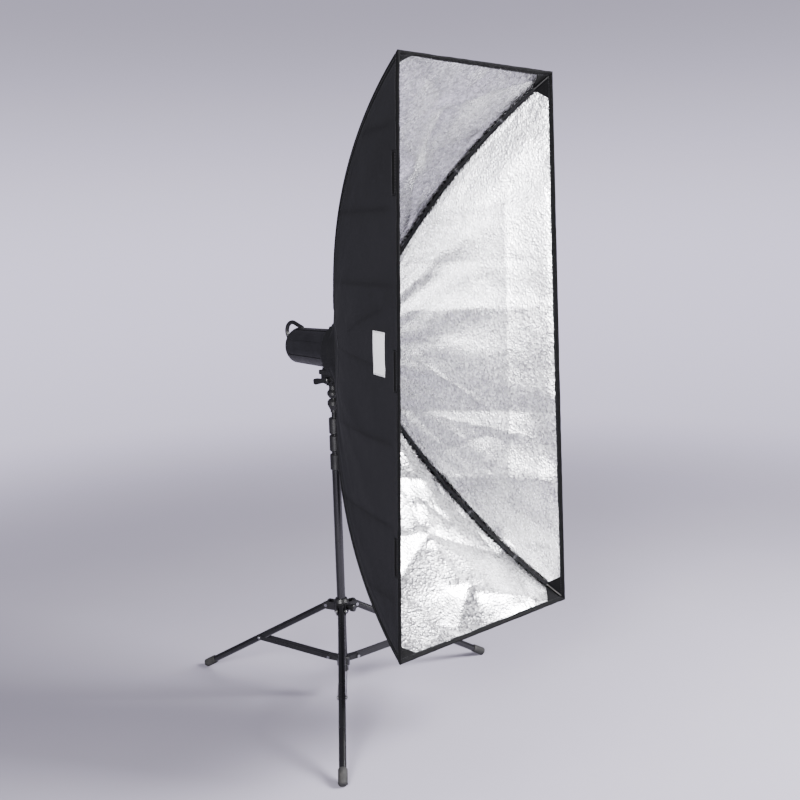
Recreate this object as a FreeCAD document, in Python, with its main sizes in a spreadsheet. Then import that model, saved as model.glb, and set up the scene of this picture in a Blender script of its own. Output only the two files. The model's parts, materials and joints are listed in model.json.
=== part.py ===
import FreeCAD, Part
import math
import os
import re

import Sketcher
from FreeCAD import Placement, Rotation, Vector

# Studio softbox: a rectangular fabric box on a flash head, on a folding light stand.
# It stands on the floor at Z = 0, the box faces -Y and +X is to the right seen from the front.
# The origin is under the middle of the whole object's outline, so the column stands a little off it.

NODE_FOLDER = "parts"
os.makedirs(NODE_FOLDER, exist_ok=True)
doc = FreeCAD.newDocument("studio_softbox")

# Driving dimensions, in millimetres and degrees: alias, value, what it measures.
DRIVING = [
    ("column_x", -74.2, "column axis from the origin, to the right"),
    ("column_y", 45.0, "column axis from the origin, to the rear"),
    ("column_radius", 12.5, "lowest column tube, outside"),
    ("tube_wall", 1.2, "wall of every column tube"),
    ("slide_gap", 0.3, "radial gap between sliding tubes"),
    ("seat_gap", 0.02, "radial gap of a fixed fit"),
    ("pin_gap", 0.05, "radial gap of a pin that turns"),
    ("column_foot", 88, "lower end of the column tube"),
    ("cap_radius", 14.2, "column end cap"),
    ("cap_bottom", 80, "column end cap, lower face"),
    ("cap_top", 99.5, "column end cap, upper edge"),
    ("clamp_low_bottom", 697, "lowest clamp, lower face"),
    ("clamp_mid_bottom", 752, "middle clamp, lower face"),
    ("clamp_high_bottom", 803, "highest clamp, lower face"),
    ("clamp_height", 47, "each clamp"),
    ("clamp_seat", 18, "depth of the tube in its clamp"),
    ("clamp_radius", 16.5, "each clamp, outside"),
    ("clamp_bevel", 2.5, "bevel of each clamp's edges"),
    ("boss_radius", 8.5, "screw boss of each clamp"),
    ("boss_reach", 27, "screw boss, from the column axis"),
    ("screw_radius", 3, "clamp screw"),
    ("wing_span", 21, "half height of a wing knob"),
    ("wing_reach", 47, "wing knob, from the column axis"),
    ("wing_thick", 6, "wing knob plate"),
    ("plug_length", 16, "guide plug at the foot of each tube"),
    ("tube_step", 30, "height between the feet of nested tubes"),
    ("top_tube_end", 880, "upper end of the narrowest tube"),
    ("collar_bottom", 100, "spreader collar, lower face"),
    ("collar_top", 126, "spreader collar, upper face"),
    ("collar_radius", 19, "spreader collar ring, outside"),
    ("collar_pivot_z", 118, "spreader pivots, height"),
    ("hub_bottom", 262, "leg hub, lower face"),
    ("hub_top", 308, "leg hub, upper face"),
    ("hub_radius", 22, "leg hub ring, outside"),
    ("hub_pivot_z", 283, "leg pivots, height"),
    ("pivot_reach", 45, "leg and spreader pivots, from the column axis"),
    ("ear_radius", 11.5, "rounded end of a hub ear"),
    ("ear_thick", 4, "hub ear plate"),
    ("ear_gap", 10.4, "half gap between a leg's two ears"),
    ("lug_radius", 7, "rounded end of a collar lug"),
    ("leg_radius", 10, "leg tube, outside"),
    ("leg_wall", 1.2, "leg tube wall"),
    ("leg_length", 534, "leg, from its pivot to the tube's end"),
    ("leg_slope", 30.4, "legs, degrees below level"),
    ("leg_heading", -132.92, "first leg, degrees from +X"),
    ("leg_tail", 12, "leg tube behind its pivot"),
    ("leg_brace_point", 290, "spreader pivot along the leg"),
    ("foot_radius", 12.5, "rubber foot"),
    ("foot_cover", 34, "rubber foot over the tube"),
    ("foot_beyond", 12, "rubber foot past the tube's end"),
    ("strip_width", 12, "spreader strip"),
    ("strip_thick", 1.5, "spreader strip"),
    ("strip_inner", 10.6, "half gap between the two strips"),
    ("hub_pin_radius", 3, "leg pivot pin"),
    ("brace_pin_radius", 2.5, "spreader pivot pin"),
    ("pin_head_radius", 4.6, "pin heads"),
    ("pin_head_thick", 2.2, "pin heads"),
    ("spigot_skirt", 866, "spigot cup, lower edge"),
    ("spigot_shoulder", 904, "spigot shoulder"),
    ("spigot_radius", 7.94, "spigot stud, outside"),
    ("spigot_top", 939, "spigot stud, upper end"),
    ("flare_radius", 18.2, "spigot and socket flares"),
    ("socket_bottom", 908, "tilting bracket's socket, lower edge"),
    ("socket_radius", 12.5, "tilting bracket's socket neck"),
    ("socket_top", 947, "tilting bracket's socket, upper face"),
    ("tilt_pivot_z", 960, "tilt pivot, height"),
    ("tongue_half", 13, "half thickness of the bracket's tongue"),
    ("tongue_radius", 15, "rounded end of the tongue"),
    ("yoke_gap", 0.3, "gap between tongue and yoke"),
    ("yoke_plate", 5, "yoke plate"),
    ("yoke_floor", 975.6, "yoke block, lower face"),
    ("yoke_top", 988.1, "yoke block, upper face"),
    ("yoke_half_x", 26, "yoke block, half width"),
    ("yoke_half_y", 30, "yoke block, half length"),
    ("umbrella_radius", 4.25, "umbrella shaft hole"),
    ("tilt_bolt_radius", 4, "tilt bolt"),
    ("axis_height", 1048, "flash head axis"),
    ("head_radius", 55, "flash head case, outside"),
    ("head_wall", 3.5, "flash head case wall"),
    ("head_rear", 147, "case behind the column axis"),
    ("head_front", 40, "case ahead of the column axis"),
    ("head_taper", 3.5, "case radius lost towards the rear"),
    ("rib_width", 5, "long groove in the case"),
    ("rib_depth", 2, "long groove in the case"),
    ("panel_radius", 46.4, "rear control panel"),
    ("panel_rear", 145, "rear control panel, outer face"),
    ("panel_thick", 4, "rear control panel"),
    ("collar_outer", 58, "bayonet collar, outside"),
    ("collar_front", 70, "bayonet collar, front edge"),
    ("ring_inner", 58.4, "speed ring, inside"),
    ("ring_outer", 74, "speed ring, outside"),
    ("ring_back", 52, "speed ring, rear face"),
    ("ring_front", 74, "speed ring, front face"),
    ("rod_start_radius", 54, "rod line's start, from the head axis"),
    ("rod_start", 67, "rod line's start, ahead of the column axis"),
    ("rod_bow", 76, "bow of each rod"),
    ("rod_radius", 2, "tension rod"),
    ("box_width", 600, "softbox face, across"),
    ("box_height", 1400, "softbox face, upright"),
    ("box_reach", 565, "softbox face, ahead of the column axis"),
    ("box_twist", 21.6, "corners of the face, forward or back"),
    ("rim_rise", 16, "middle of the face above the head axis"),
    ("cloth_thick", 2, "fabric panel, as a plain solid"),
    ("cloth_gap", 0.2, "gap between neighbouring panels"),
    ("neck_radius", 84, "fabric neck around the speed ring"),
    ("neck_back", 46, "fabric neck, rear edge"),
]
sizes = doc.addObject("Spreadsheet::Sheet", "sizes")
for row, (alias, value, meaning) in enumerate(DRIVING, start=1):
    sizes.set(f"A{row}", meaning)
    sizes.set(f"B{row}", str(value))
    sizes.setAlias(f"B{row}", alias)
doc.recompute()
ALIASES = {alias for alias, value, meaning in DRIVING}

nodes = {}
counter = {}


# ---------------------------------------------------------------- helpers
def linked(text):
    """The expression with each alias pointing at the sheet."""
    return re.sub(r"[a-z_]+", lambda hit: "sizes." + hit[0] if hit[0] in ALIASES else hit[0], str(text))


def size(text):
    """The expression's value, in millimetres or degrees."""
    return float(sizes.evalExpression(linked(text)))


def fresh(stem):
    """A document name that isn't used yet."""
    counter[stem] = counter.get(stem, 0) + 1
    return f"{stem}_{counter[stem]}"


def bind(obj, **properties):
    for name, text in properties.items():
        obj.setExpression(name, linked(text))
    return obj


def at(obj, x=0, y=0, z=0, turn=Rotation()):
    """Places a primitive, its three coordinates bound to the sheet."""
    obj.Placement = Placement(Vector(0, 0, 0), turn)
    bind(obj, **{"Placement.Base.x": x, "Placement.Base.y": y, "Placement.Base.z": z})
    return obj


ALONG_X = Rotation(Vector(0, 1, 0), 90)
ALONG_Y = Rotation(Vector(1, 0, 0), -90)
ALONG_Z = Rotation()


def cylinder(radius, length, x=0, y=0, z=0, turn=ALONG_Z):
    obj = doc.addObject("Part::Cylinder", fresh("cylinder"))
    bind(obj, Radius=radius, Height=length)
    return at(obj, x, y, z, turn)


def block(x, y, z):
    """A box between pairs of expressions on the three axes."""
    obj = doc.addObject("Part::Box", fresh("block"))
    bind(obj, Length=f"({x[1]}) - ({x[0]})", Width=f"({y[1]}) - ({y[0]})", Height=f"({z[1]}) - ({z[0]})")
    return at(obj, x[0], y[0], z[0])


def fused(*shapes):
    obj = doc.addObject("Part::MultiFuse", fresh("joined"))
    obj.Shapes = list(shapes)
    return obj


def cut(base, *tools):
    obj = doc.addObject("Part::Cut", fresh("cut"))
    obj.Base = base
    obj.Tool = tools[0] if len(tools) == 1 else fused(*tools)
    return obj


def grouped(*shapes):
    """Separate solids that share one node."""
    obj = doc.addObject("Part::Compound", fresh("group"))
    obj.Links = list(shapes)
    return obj


def shaped(shape):
    """A shape from Part's own functions, where no feature makes it."""
    obj = doc.addObject("Part::Feature", fresh("shape"))
    obj.Shape = shape
    return obj


def sketch_outline(body, role, points):
    """A closed polygon on one of the body's origin planes, each corner bound to the sheet."""
    sketch = body.newObject("Sketcher::SketchObject", fresh("outline"))
    plane = [item for item in body.Origin.OriginFeatures if item.Role == role][0]
    sketch.AttachmentSupport = [(plane, "")]
    sketch.MapMode = "FlatFace"
    corners = [Vector(size(u), size(v), 0) for u, v in points]
    count = len(corners)
    for i in range(count):
        sketch.addGeometry(Part.LineSegment(corners[i], corners[(i + 1) % count]), False)
    for i in range(count):
        sketch.addConstraint(Sketcher.Constraint("Coincident", i, 2, (i + 1) % count, 1))
    for i, point in enumerate(points):
        for kind, text, axis in (("DistanceX", point[0], -2), ("DistanceY", point[1], -1)):
            value = size(text)
            if abs(value) < 1e-9:
                sketch.addConstraint(Sketcher.Constraint("PointOnObject", i, 1, axis))
                continue
            ends = (-1, 1, i, 1) if value > 0 else (i, 1, -1, 1)
            number = sketch.addConstraint(Sketcher.Constraint(kind, *ends, abs(value)))
            sign = "" if value > 0 else "-"
            sketch.setExpression(f"Constraints[{number}]", f"{sign}({linked(text)})")
    return sketch


def turned(profile):
    """A body turned about Z from a profile of (radius, height) corners."""
    body = doc.addObject("PartDesign::Body", fresh("turned"))
    sketch = sketch_outline(body, "XZ_Plane", profile)
    doc.recompute()
    feature = body.newObject("PartDesign::Revolution", fresh("revolution"))
    feature.Profile = sketch
    feature.ReferenceAxis = (sketch, ["V_Axis"])
    feature.Angle = 360
    return body


def plate(outline, thick, role="XZ_Plane"):
    """A body padded evenly to both sides of one of its origin planes."""
    body = doc.addObject("PartDesign::Body", fresh("plate"))
    sketch = sketch_outline(body, role, outline)
    doc.recompute()
    feature = body.newObject("PartDesign::Pad", fresh("pad"))
    feature.Profile = sketch
    feature.SideType = "Symmetric"
    feature.setExpression("Length", linked(thick))
    return body


COLUMN = Placement(Vector(size("column_x"), size("column_y"), 0), Rotation())
# In the head's own frame X is to the right, Y is up and Z is forward, out of the flash head.
HEAD = COLUMN * Placement(Vector(0, 0, size("axis_height")), Rotation(Vector(1, 0, 0), 90))


def keep(name, obj, place=COLUMN):
    """Names a finished sub-part and puts it in its place."""
    if obj.TypeId in ("Part::Box", "Part::Cylinder"):
        obj = grouped(obj)
    obj.Label = name
    obj.Placement = place
    nodes[name] = obj


def heading(angle):
    """A frame on the column axis with its X axis turned to the given heading."""
    return COLUMN * Placement(Vector(0, 0, 0), Rotation(Vector(0, 0, 1), angle))


def shift(x=0, y=0, z=0, turn=Rotation()):
    return Placement(Vector(x, y, z), turn)


# ---------------------------------------------------------------- column and clamps
TUBES = [
    # outer radius, foot, top, clamp's lower face
    ("column_radius", "column_foot", "clamp_low_bottom + clamp_seat", "clamp_low_bottom"),
    ("column_radius - 1 * (tube_wall + slide_gap)", "column_foot + 1 * tube_step + 4",
     "clamp_mid_bottom + clamp_seat", "clamp_mid_bottom"),
    ("column_radius - 2 * (tube_wall + slide_gap)", "column_foot + 2 * tube_step + 4",
     "clamp_high_bottom + clamp_seat", "clamp_high_bottom"),
    ("column_radius - 3 * (tube_wall + slide_gap)", "column_foot + 3 * tube_step + 4",
     "top_tube_end", None),
]
TUBE_NAMES = ["column_tube", "section_2_tube", "section_3_tube", "section_4_tube"]
CLAMP_NAMES = ["clamp_low", "clamp_mid", "clamp_high"]
CLAMP_HEADING = -42
HUB_KNOB_HEADING = -72.92


def tube(radius, foot, top):
    inner = f"{radius} - tube_wall"
    return turned([(inner, foot), (radius, foot), (radius, top), (inner, top)])


def guide_plug(radius, foot):
    """Fills the tube's lower end, with a flange under it as wide as the tube."""
    inner = f"{radius} - tube_wall - seat_gap"
    bottom = f"{foot} - 6"
    top = f"{foot} + plug_length - 6"
    return turned([(0, bottom), (radius, bottom), (radius, foot), (inner, foot), (inner, top), (0, top)])


def clamp(radius, next_radius, bottom):
    """A collar seated on one tube that grips the next, with a boss for its screw."""
    seat = f"{radius} + seat_gap"
    bore = f"{next_radius} + slide_gap"
    top = f"{bottom} + clamp_height"
    step = f"{bottom} + clamp_seat"
    ring = turned([
        (seat, bottom), ("clamp_radius - clamp_bevel", bottom), ("clamp_radius", f"{bottom} + clamp_bevel"),
        ("clamp_radius", f"{top} - clamp_bevel"), ("clamp_radius - clamp_bevel", top), (bore, top),
        (bore, step), (seat, step),
    ])
    middle = f"{bottom} + clamp_height / 2"
    inner = f"{radius} + 1"
    boss = cylinder("boss_radius", f"boss_reach - ({inner})", inner, 0, middle, ALONG_X)
    hole = cylinder("screw_radius + pin_gap", "boss_reach", 0, 0, middle, ALONG_X)
    return cut(fused(ring, boss), hole)


def wing_knob(tip):
    """A screw along +Z with a two-winged grip, its wings up and down along X."""
    root = "boss_reach + 0.6"
    screw = turned([(0, tip), ("screw_radius", tip), ("screw_radius", root), (7, root),
                    (7, "boss_reach + 9"), (5, "boss_reach + 12"), (0, "boss_reach + 12")])
    wings = [
        plate([(side * 3, "boss_reach + 3"), (f"{side} * 14", "boss_reach + 2"),
               (f"{side} * wing_span", "boss_reach + 7"), (f"{side} * (wing_span - 2)", "wing_reach - 3"),
               (f"{side} * (wing_span - 8)", "wing_reach"), (side * 3, "boss_reach + 9")], "wing_thick")
        for side in (1, -1)
    ]
    return fused(screw, *wings)


def facing(angle, z):
    """A frame whose Z axis points outward at a heading and whose X axis is up."""
    outward = Vector(math.cos(math.radians(angle)), math.sin(math.radians(angle)), 0)
    up = Vector(0, 0, 1)
    return COLUMN * Placement(Vector(0, 0, z), Rotation(up, outward.cross(up), outward, "ZXY"))


for i, (radius, foot, top, clamp_bottom) in enumerate(TUBES):
    keep(TUBE_NAMES[i], tube(radius, foot, top))
    if i > 0:
        keep(f"section_{i + 1}_plug", guide_plug(radius, foot))
    if clamp_bottom:
        following = TUBES[i + 1][0]
        keep(CLAMP_NAMES[i], clamp(radius, following, clamp_bottom), heading(CLAMP_HEADING))
        middle = size(f"{clamp_bottom} + clamp_height / 2")
        keep(f"clamp_knob_{i + 1}", wing_knob(f"{following} + slide_gap"), facing(CLAMP_HEADING, middle))

keep("column_end_cap", turned([
    (0, "cap_bottom"), ("cap_radius - 2", "cap_bottom"), ("cap_radius", "cap_bottom + 2"),
    ("cap_radius", "cap_top"), ("column_radius + seat_gap", "cap_top"),
    ("column_radius + seat_gap", "column_foot"), (0, "column_foot"),
]))


# ---------------------------------------------------------------- leg hub, spreader collar and legs
LEG_COUNT = 3
LEG_STEP = 360 / LEG_COUNT
leg_turns = [i * LEG_STEP for i in range(LEG_COUNT)]
first_leg = size("leg_heading")


def around(maker):
    """The same piece once per leg, turned about the column."""
    copies = []
    for turn in leg_turns:
        piece = maker()
        piece.Placement = shift(turn=Rotation(Vector(0, 0, 1), turn))
        copies.append(piece)
    return copies


def hub_arm():
    """Two ears that hold a leg between them, with a bored end."""
    half = "ear_gap + ear_thick"
    arm = block(("hub_radius - 6", "pivot_reach"), (f"-({half})", half),
                ("hub_pivot_z - ear_radius", "hub_pivot_z + ear_radius"))
    end = cylinder("ear_radius", f"2 * ({half})", "pivot_reach", f"-({half})", "hub_pivot_z", ALONG_Y)
    slot = block(("hub_radius + 1", "pivot_reach + 20"), ("-ear_gap", "ear_gap"), ("hub_bottom", "hub_top"))
    hole = cylinder("hub_pin_radius + seat_gap", 60, "pivot_reach", -30, "hub_pivot_z", ALONG_Y)
    return cut(fused(arm, end), slot, hole)


def collar_lug():
    """A solid lug that a pair of spreader strips straddles."""
    half = "strip_inner - 0.4"
    arm = block(("collar_radius - 5", "pivot_reach"), (f"-({half})", half),
                ("collar_pivot_z - lug_radius", "collar_pivot_z + lug_radius"))
    end = cylinder("lug_radius", f"2 * ({half})", "pivot_reach", f"-({half})", "collar_pivot_z", ALONG_Y)
    hole = cylinder("brace_pin_radius + seat_gap", 60, "pivot_reach", -30, "collar_pivot_z", ALONG_Y)
    return cut(fused(arm, end), hole)


def headed_pin(radius, half, height):
    """A pin across a leg's plane with a head at each end."""
    shank = cylinder(radius, f"2 * ({half})", "pivot_reach", f"-({half})", height, ALONG_Y)
    heads = [cylinder("pin_head_radius", "pin_head_thick", "pivot_reach", y, height, ALONG_Y)
             for y in (f"-({half}) - pin_head_thick", half)]
    return fused(shank, *heads)


hub_ring = turned([
    ("column_radius + slide_gap", "hub_bottom"), ("hub_radius - 3", "hub_bottom"),
    ("hub_radius", "hub_bottom + 6"), ("hub_radius", "hub_top - 10"), ("hub_radius - 5", "hub_top"),
    ("column_radius + slide_gap", "hub_top"),
])
HUB_KNOB_TURN = HUB_KNOB_HEADING - first_leg
knob_way = Rotation(Vector(0, 0, 1), HUB_KNOB_TURN) * ALONG_X
KNOB_COS = math.cos(math.radians(HUB_KNOB_TURN))
KNOB_SIN = math.sin(math.radians(HUB_KNOB_TURN))
hub_boss = cylinder(8, 12, 19 * KNOB_COS, 19 * KNOB_SIN, "hub_pivot_z", knob_way)
hub_boss_hole = cylinder("screw_radius + pin_gap", 40, 0, 0, "hub_pivot_z", knob_way)
hub_body = fused(hub_ring, hub_boss, *around(hub_arm))
keep("leg_hub", cut(hub_body, hub_boss_hole), heading(first_leg))
keep("hub_pivot_pins", grouped(*around(
    lambda: headed_pin("hub_pin_radius", "ear_gap + ear_thick + 0.3", "hub_pivot_z"))), heading(first_leg))
keep("hub_knob", turned([
    (0, "column_radius + slide_gap + 0.3"), ("screw_radius", "column_radius + slide_gap + 0.3"),
    ("screw_radius", 31.6), (9, 31.6), (11, 34), (11, 44), (9, 46), (0, 46),
]), facing(HUB_KNOB_HEADING, size("hub_pivot_z")))

collar_ring = turned([
    ("column_radius + seat_gap", "collar_bottom"), ("collar_radius", "collar_bottom"),
    ("collar_radius", "collar_top - 3"), ("collar_radius - 3", "collar_top"),
    ("column_radius + seat_gap", "collar_top"),
])
keep("spreader_collar", fused(collar_ring, *around(collar_lug)), heading(first_leg))
keep("collar_pivot_pins", grouped(*around(
    lambda: headed_pin("brace_pin_radius", "strip_inner + strip_thick + 0.3", "collar_pivot_z"))),
    heading(first_leg))

# The spreader runs from its collar pivot to the leg, so its length and slope follow from the leg.
slope = math.radians(size("leg_slope"))
brace_run = size("leg_brace_point") * math.cos(slope)
brace_rise = size("hub_pivot_z - collar_pivot_z") - size("leg_brace_point") * math.sin(slope)
brace_length = math.hypot(brace_run, brace_rise)
brace_slope = math.degrees(math.atan2(brace_rise, brace_run))
leg_frame = shift(size("pivot_reach"), 0, size("hub_pivot_z"), Rotation(Vector(0, 1, 0), size("leg_slope")))
brace_frame = shift(size("pivot_reach"), 0, size("collar_pivot_z"), Rotation(Vector(0, 1, 0), -brace_slope))


def leg_tube():
    """A tube along X with a cross hole at each pivot."""
    whole = cylinder("leg_radius", "leg_length + leg_tail", "-leg_tail", 0, 0, ALONG_X)
    bore = cylinder("leg_radius - leg_wall", "leg_length + leg_tail + 2", "-leg_tail - 1", 0, 0, ALONG_X)
    pivot = cylinder("hub_pin_radius + pin_gap", 40, 0, -20, 0, ALONG_Y)
    rivet = cylinder("brace_pin_radius + seat_gap", 40, "leg_brace_point", -20, 0, ALONG_Y)
    return cut(whole, bore, pivot, rivet)


def rubber_foot():
    """A cap over the leg's end, cut flat where it stands on the floor."""
    start = "leg_length - foot_cover"
    end = "leg_length + foot_beyond"
    cap = turned([
        ("leg_radius + seat_gap", start), ("foot_radius - 1.5", start), ("foot_radius", f"{start} + 3"),
        ("foot_radius", f"{end} - 4"), ("foot_radius - 4", end), (0, end), (0, "leg_length"),
        ("leg_radius + seat_gap", "leg_length"),
    ])
    cap.Placement = Placement(Vector(0, 0, 0), ALONG_X)
    floor = grouped(block((300, 700), (-50, 50), (-60, 0)))
    floor.Placement = leg_frame.inverse()
    return cut(cap, floor)


def spreader_strips():
    """A pair of flat strips with rounded, bored ends."""
    strips = []
    for inner in ("strip_inner", "-strip_inner - strip_thick"):
        bar = block((0, brace_length), (inner, f"{inner} + strip_thick"),
                    ("-strip_width / 2", "strip_width / 2"))
        ends = [cylinder("strip_width / 2", "strip_thick", x, inner, 0, ALONG_Y)
                for x in (0, brace_length)]
        holes = [cylinder("brace_pin_radius + pin_gap", 40, x, -20, 0, ALONG_Y)
                 for x in (0, brace_length)]
        strips.append(cut(fused(bar, *ends), *holes))
    return grouped(*strips)


for i, turn in enumerate(leg_turns, start=1):
    frame = heading(first_leg + turn)
    keep(f"leg_tube_{i}", leg_tube(), frame * leg_frame)
    keep(f"leg_foot_{i}", rubber_foot(), frame * leg_frame)
    keep(f"leg_rivet_{i}", cylinder("brace_pin_radius", "2 * leg_radius + 0.6"),
         frame * leg_frame * shift(size("leg_brace_point"), -size("leg_radius") - 0.3, 0, ALONG_Y))
    keep(f"brace_{i}", spreader_strips(), frame * brace_frame)


# ---------------------------------------------------------------- spigot, bracket and tilt
keep("spigot", turned([
    (TUBES[3][0] + " + seat_gap", "spigot_skirt"), (10.5, "spigot_skirt"), (10.5, "spigot_skirt + 6"),
    ("flare_radius", "spigot_skirt + 22"), ("flare_radius", "spigot_skirt + 31"),
    (13, "spigot_shoulder"), ("spigot_radius", "spigot_shoulder"), ("spigot_radius", "spigot_shoulder + 12"),
    ("spigot_radius - 1.4", "spigot_shoulder + 14"), ("spigot_radius - 1.4", "spigot_shoulder + 20"),
    ("spigot_radius", "spigot_shoulder + 22"), ("spigot_radius", "spigot_top - 1.5"),
    ("spigot_radius - 1.5", "spigot_top"), (0, "spigot_top"), (0, "top_tube_end"),
    (TUBES[3][0] + " + seat_gap", "top_tube_end"),
]))

SPIGOT_KNOB_HEADING = 45
SPIGOT_SCREW_Z = 920
spigot_knob_way = Rotation(Vector(0, 0, 1), SPIGOT_KNOB_HEADING) * ALONG_X
socket_bore = "spigot_radius + slide_gap"
socket_body = turned([
    (socket_bore, "socket_bottom"), ("socket_radius", "socket_bottom"), ("flare_radius", "socket_bottom + 9"),
    ("flare_radius", "socket_bottom + 16"), ("socket_radius", "socket_bottom + 24"),
    ("socket_radius", "socket_top"), (0, "socket_top"), (0, "spigot_top + 1"),
    (socket_bore, "spigot_top + 1"),
])
tongue_neck = block(("-tongue_half", "tongue_half"), ("-tongue_radius", "tongue_radius"),
                    ("socket_top - 4", "tilt_pivot_z"))
tongue_end = cylinder("tongue_radius", "2 * tongue_half", "-tongue_half", 0, "tilt_pivot_z", ALONG_X)
tongue_hole = cylinder("tilt_bolt_radius + pin_gap", 60, -30, 0, "tilt_pivot_z", ALONG_X)
spigot_screw_hole = cylinder("screw_radius + pin_gap", 40, 0, 0, SPIGOT_SCREW_Z, spigot_knob_way)
keep("bracket_socket", cut(fused(socket_body, tongue_neck, tongue_end), tongue_hole, spigot_screw_hole))
keep("spigot_knob", turned([
    (0, "spigot_radius + slide_gap"), ("screw_radius", "spigot_radius + slide_gap"), ("screw_radius", 18.8),
    (6, 18.8), (6, 24), (12, 27), (13, 30), (13, 38), (11, 41), (0, 41),
]), facing(SPIGOT_KNOB_HEADING, SPIGOT_SCREW_Z))

plate_in = "tongue_half + yoke_gap"
plate_out = "tongue_half + yoke_gap + yoke_plate"
yoke_sides = []
for x in (plate_in, f"-({plate_out})"):
    yoke_sides.append(cylinder("tongue_radius", "yoke_plate", x, 0, "tilt_pivot_z", ALONG_X))
    yoke_sides.append(block((x, f"{x} + yoke_plate"), ("-yoke_half_y", "yoke_half_y"),
                            ("tilt_pivot_z", "yoke_floor + 1")))
yoke_block = block(("-yoke_half_x", "yoke_half_x"), ("-yoke_half_y", "yoke_half_y"),
                   ("yoke_floor", "yoke_top"))
umbrella_hole = cylinder("umbrella_radius", 80, 0, -40, "(yoke_floor + yoke_top) / 2", ALONG_Y)
yoke_bolt_hole = cylinder("tilt_bolt_radius + pin_gap", 60, -30, 0, "tilt_pivot_z", ALONG_X)
keep("tilt_yoke", cut(fused(yoke_block, *yoke_sides), umbrella_hole, yoke_bolt_hole))

# The lever's own frame: Z along the tilt axis towards -X, X along the arm.
LEVER_DROP = 9
lever_near = f"{plate_out} + 0.3"
lever_bolt = turned([
    (0, f"-({lever_near}) - 6"), (7.5, f"-({lever_near}) - 6"), (7.5, f"-({lever_near})"),
    ("tilt_bolt_radius", f"-({lever_near})"), ("tilt_bolt_radius", lever_near), (9.5, lever_near),
    (9.5, f"{lever_near} + 11"), (7.5, f"{lever_near} + 13"), (0, f"{lever_near} + 13"),
])
lever_arm = plate([(0, -7), (20, -6), (44, -9), (52, -6), (52, 6), (44, 9), (20, 6), (0, 7)], 10, "XY_Plane")
lever_arm.Placement = shift(0, 0, size(f"{lever_near} + 6"))
lever_frame = shift(0, 0, size("tilt_pivot_z"), Rotation(
    Vector(0, math.cos(math.radians(LEVER_DROP)), -math.sin(math.radians(LEVER_DROP))),
    Vector(0, 0, 0), Vector(-1, 0, 0), "ZXY"))
keep("tilt_lever", fused(lever_bolt, lever_arm), COLUMN * lever_frame)


# ---------------------------------------------------------------- flash head
GROOVES = 8
rear_radius = "(head_radius - head_taper)"
rear_edge = "panel_radius + 2.1"
case = turned([
    ("panel_radius + 0.1", "-head_rear"), (rear_edge, "-head_rear"), (rear_radius, "-head_rear + 6"),
    ("head_radius", "0"), ("head_radius", "head_front - 3"), ("head_radius - 2", "head_front"),
    (45, "head_front"), (45, "head_front - 4"), ("head_radius - head_wall", "head_front - 4"),
    ("head_radius - head_wall", "0"), (f"{rear_radius} - head_wall", "-head_rear + 12"),
    ("panel_radius + 0.1", "-head_rear + 8"),
])
grooves = []
taper_angle = math.degrees(math.atan(size("head_taper / head_rear")))
for i in range(GROOVES):
    turn = (i + 0.5) * 360 / GROOVES
    groove = block(("head_radius - rib_depth", "head_radius + 5"), ("-rib_width / 2", "rib_width / 2"),
                   ("-head_rear + 14", "head_front - 12"))
    spun = grouped(groove)
    leaned = shift(turn=Rotation(Vector(0, 1, 0), taper_angle))
    spun.Placement = shift(turn=Rotation(Vector(0, 0, 1), turn)) * leaned
    grooves.append(spun)
foot_pad = block((-18, 18), ("yoke_top - axis_height", "-head_radius + 2"), (-24, 24))
keep("strobe_housing", cut(fused(case, foot_pad), *grooves), HEAD)

keep("front_collar", turned([
    (46, "head_front"), ("collar_outer", "head_front"), ("collar_outer", "collar_front"),
    ("collar_outer - 3", "collar_front"), ("collar_outer - 3", "head_front + 4"), (46, "head_front + 4"),
]), HEAD)

lamp_seat = "head_front - 4"
plate_front = "head_front"
lamp_plate_disc = turned([(0, lamp_seat), (44.9, lamp_seat), (44.9, plate_front), (0, plate_front)])
tube_holes = [cylinder(3.05, 20, x, 0, "head_front - 12") for x in (-30, 30)]
lamp_hole = cylinder(9.05, 20, 0, 0, "head_front - 12")
keep("lamp_plate", cut(lamp_plate_disc, lamp_hole, *tube_holes), HEAD)

ring = doc.addObject("Part::Torus", fresh("torus"))
bind(ring, Radius1=30, Radius2=4.5)
at(ring, 0, 0, "head_front + 14")
keep("flash_tube", fused(ring, *[cylinder(3, 22, x, 0, "head_front - 8") for x in (-30, 30)]), HEAD)
keep("modelling_lamp", turned([
    (0, "head_front - 14"), (9, "head_front - 14"), (9, "head_front + 8"), (10.5, "head_front + 13"),
    (10.5, "head_front + 28"), (8, "head_front + 34"), (4, "head_front + 37"), (0, "head_front + 38"),
]), HEAD)


def dome(radius, wall, base):
    """A hollow half ball that opens towards -Z."""
    outer = doc.addObject("Part::Sphere", fresh("sphere"))
    bind(outer, Radius=radius, Angle1=0)
    inner = doc.addObject("Part::Sphere", fresh("sphere"))
    bind(inner, Radius=f"{radius} - {wall}")
    shell = cut(outer, inner)
    shell.Placement = shift(0, 0, size(base))
    return grouped(shell)


keep("glass_dome", dome(44.5, 2, "head_front + 4.3"), HEAD)

keep("capacitors", grouped(*[cylinder(18, 62, x, -20, -88) for x in (-20, 20)]), HEAD)
keep("circuit_board", block((-38, 38), (22, 23.6), (-96, -20)), HEAD)

AXLE_RADIUS = 2
BLADES = 7
fan_hub = cylinder(11, 12, 0, 0, "-head_rear + 33")
axle_hole = cylinder(AXLE_RADIUS + 0.05, 60, 0, 0, "-head_rear + 10")
blades = []
for i in range(BLADES):
    spun = grouped(block((9, 21), (-1, 1), ("-head_rear + 34", "-head_rear + 43")))
    spun.Placement = shift(turn=Rotation(Vector(0, 0, 1), i * 360 / BLADES))
    blades.append(spun)
keep("fan_rotor", cut(fused(fan_hub, *blades), axle_hole), HEAD)

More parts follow.
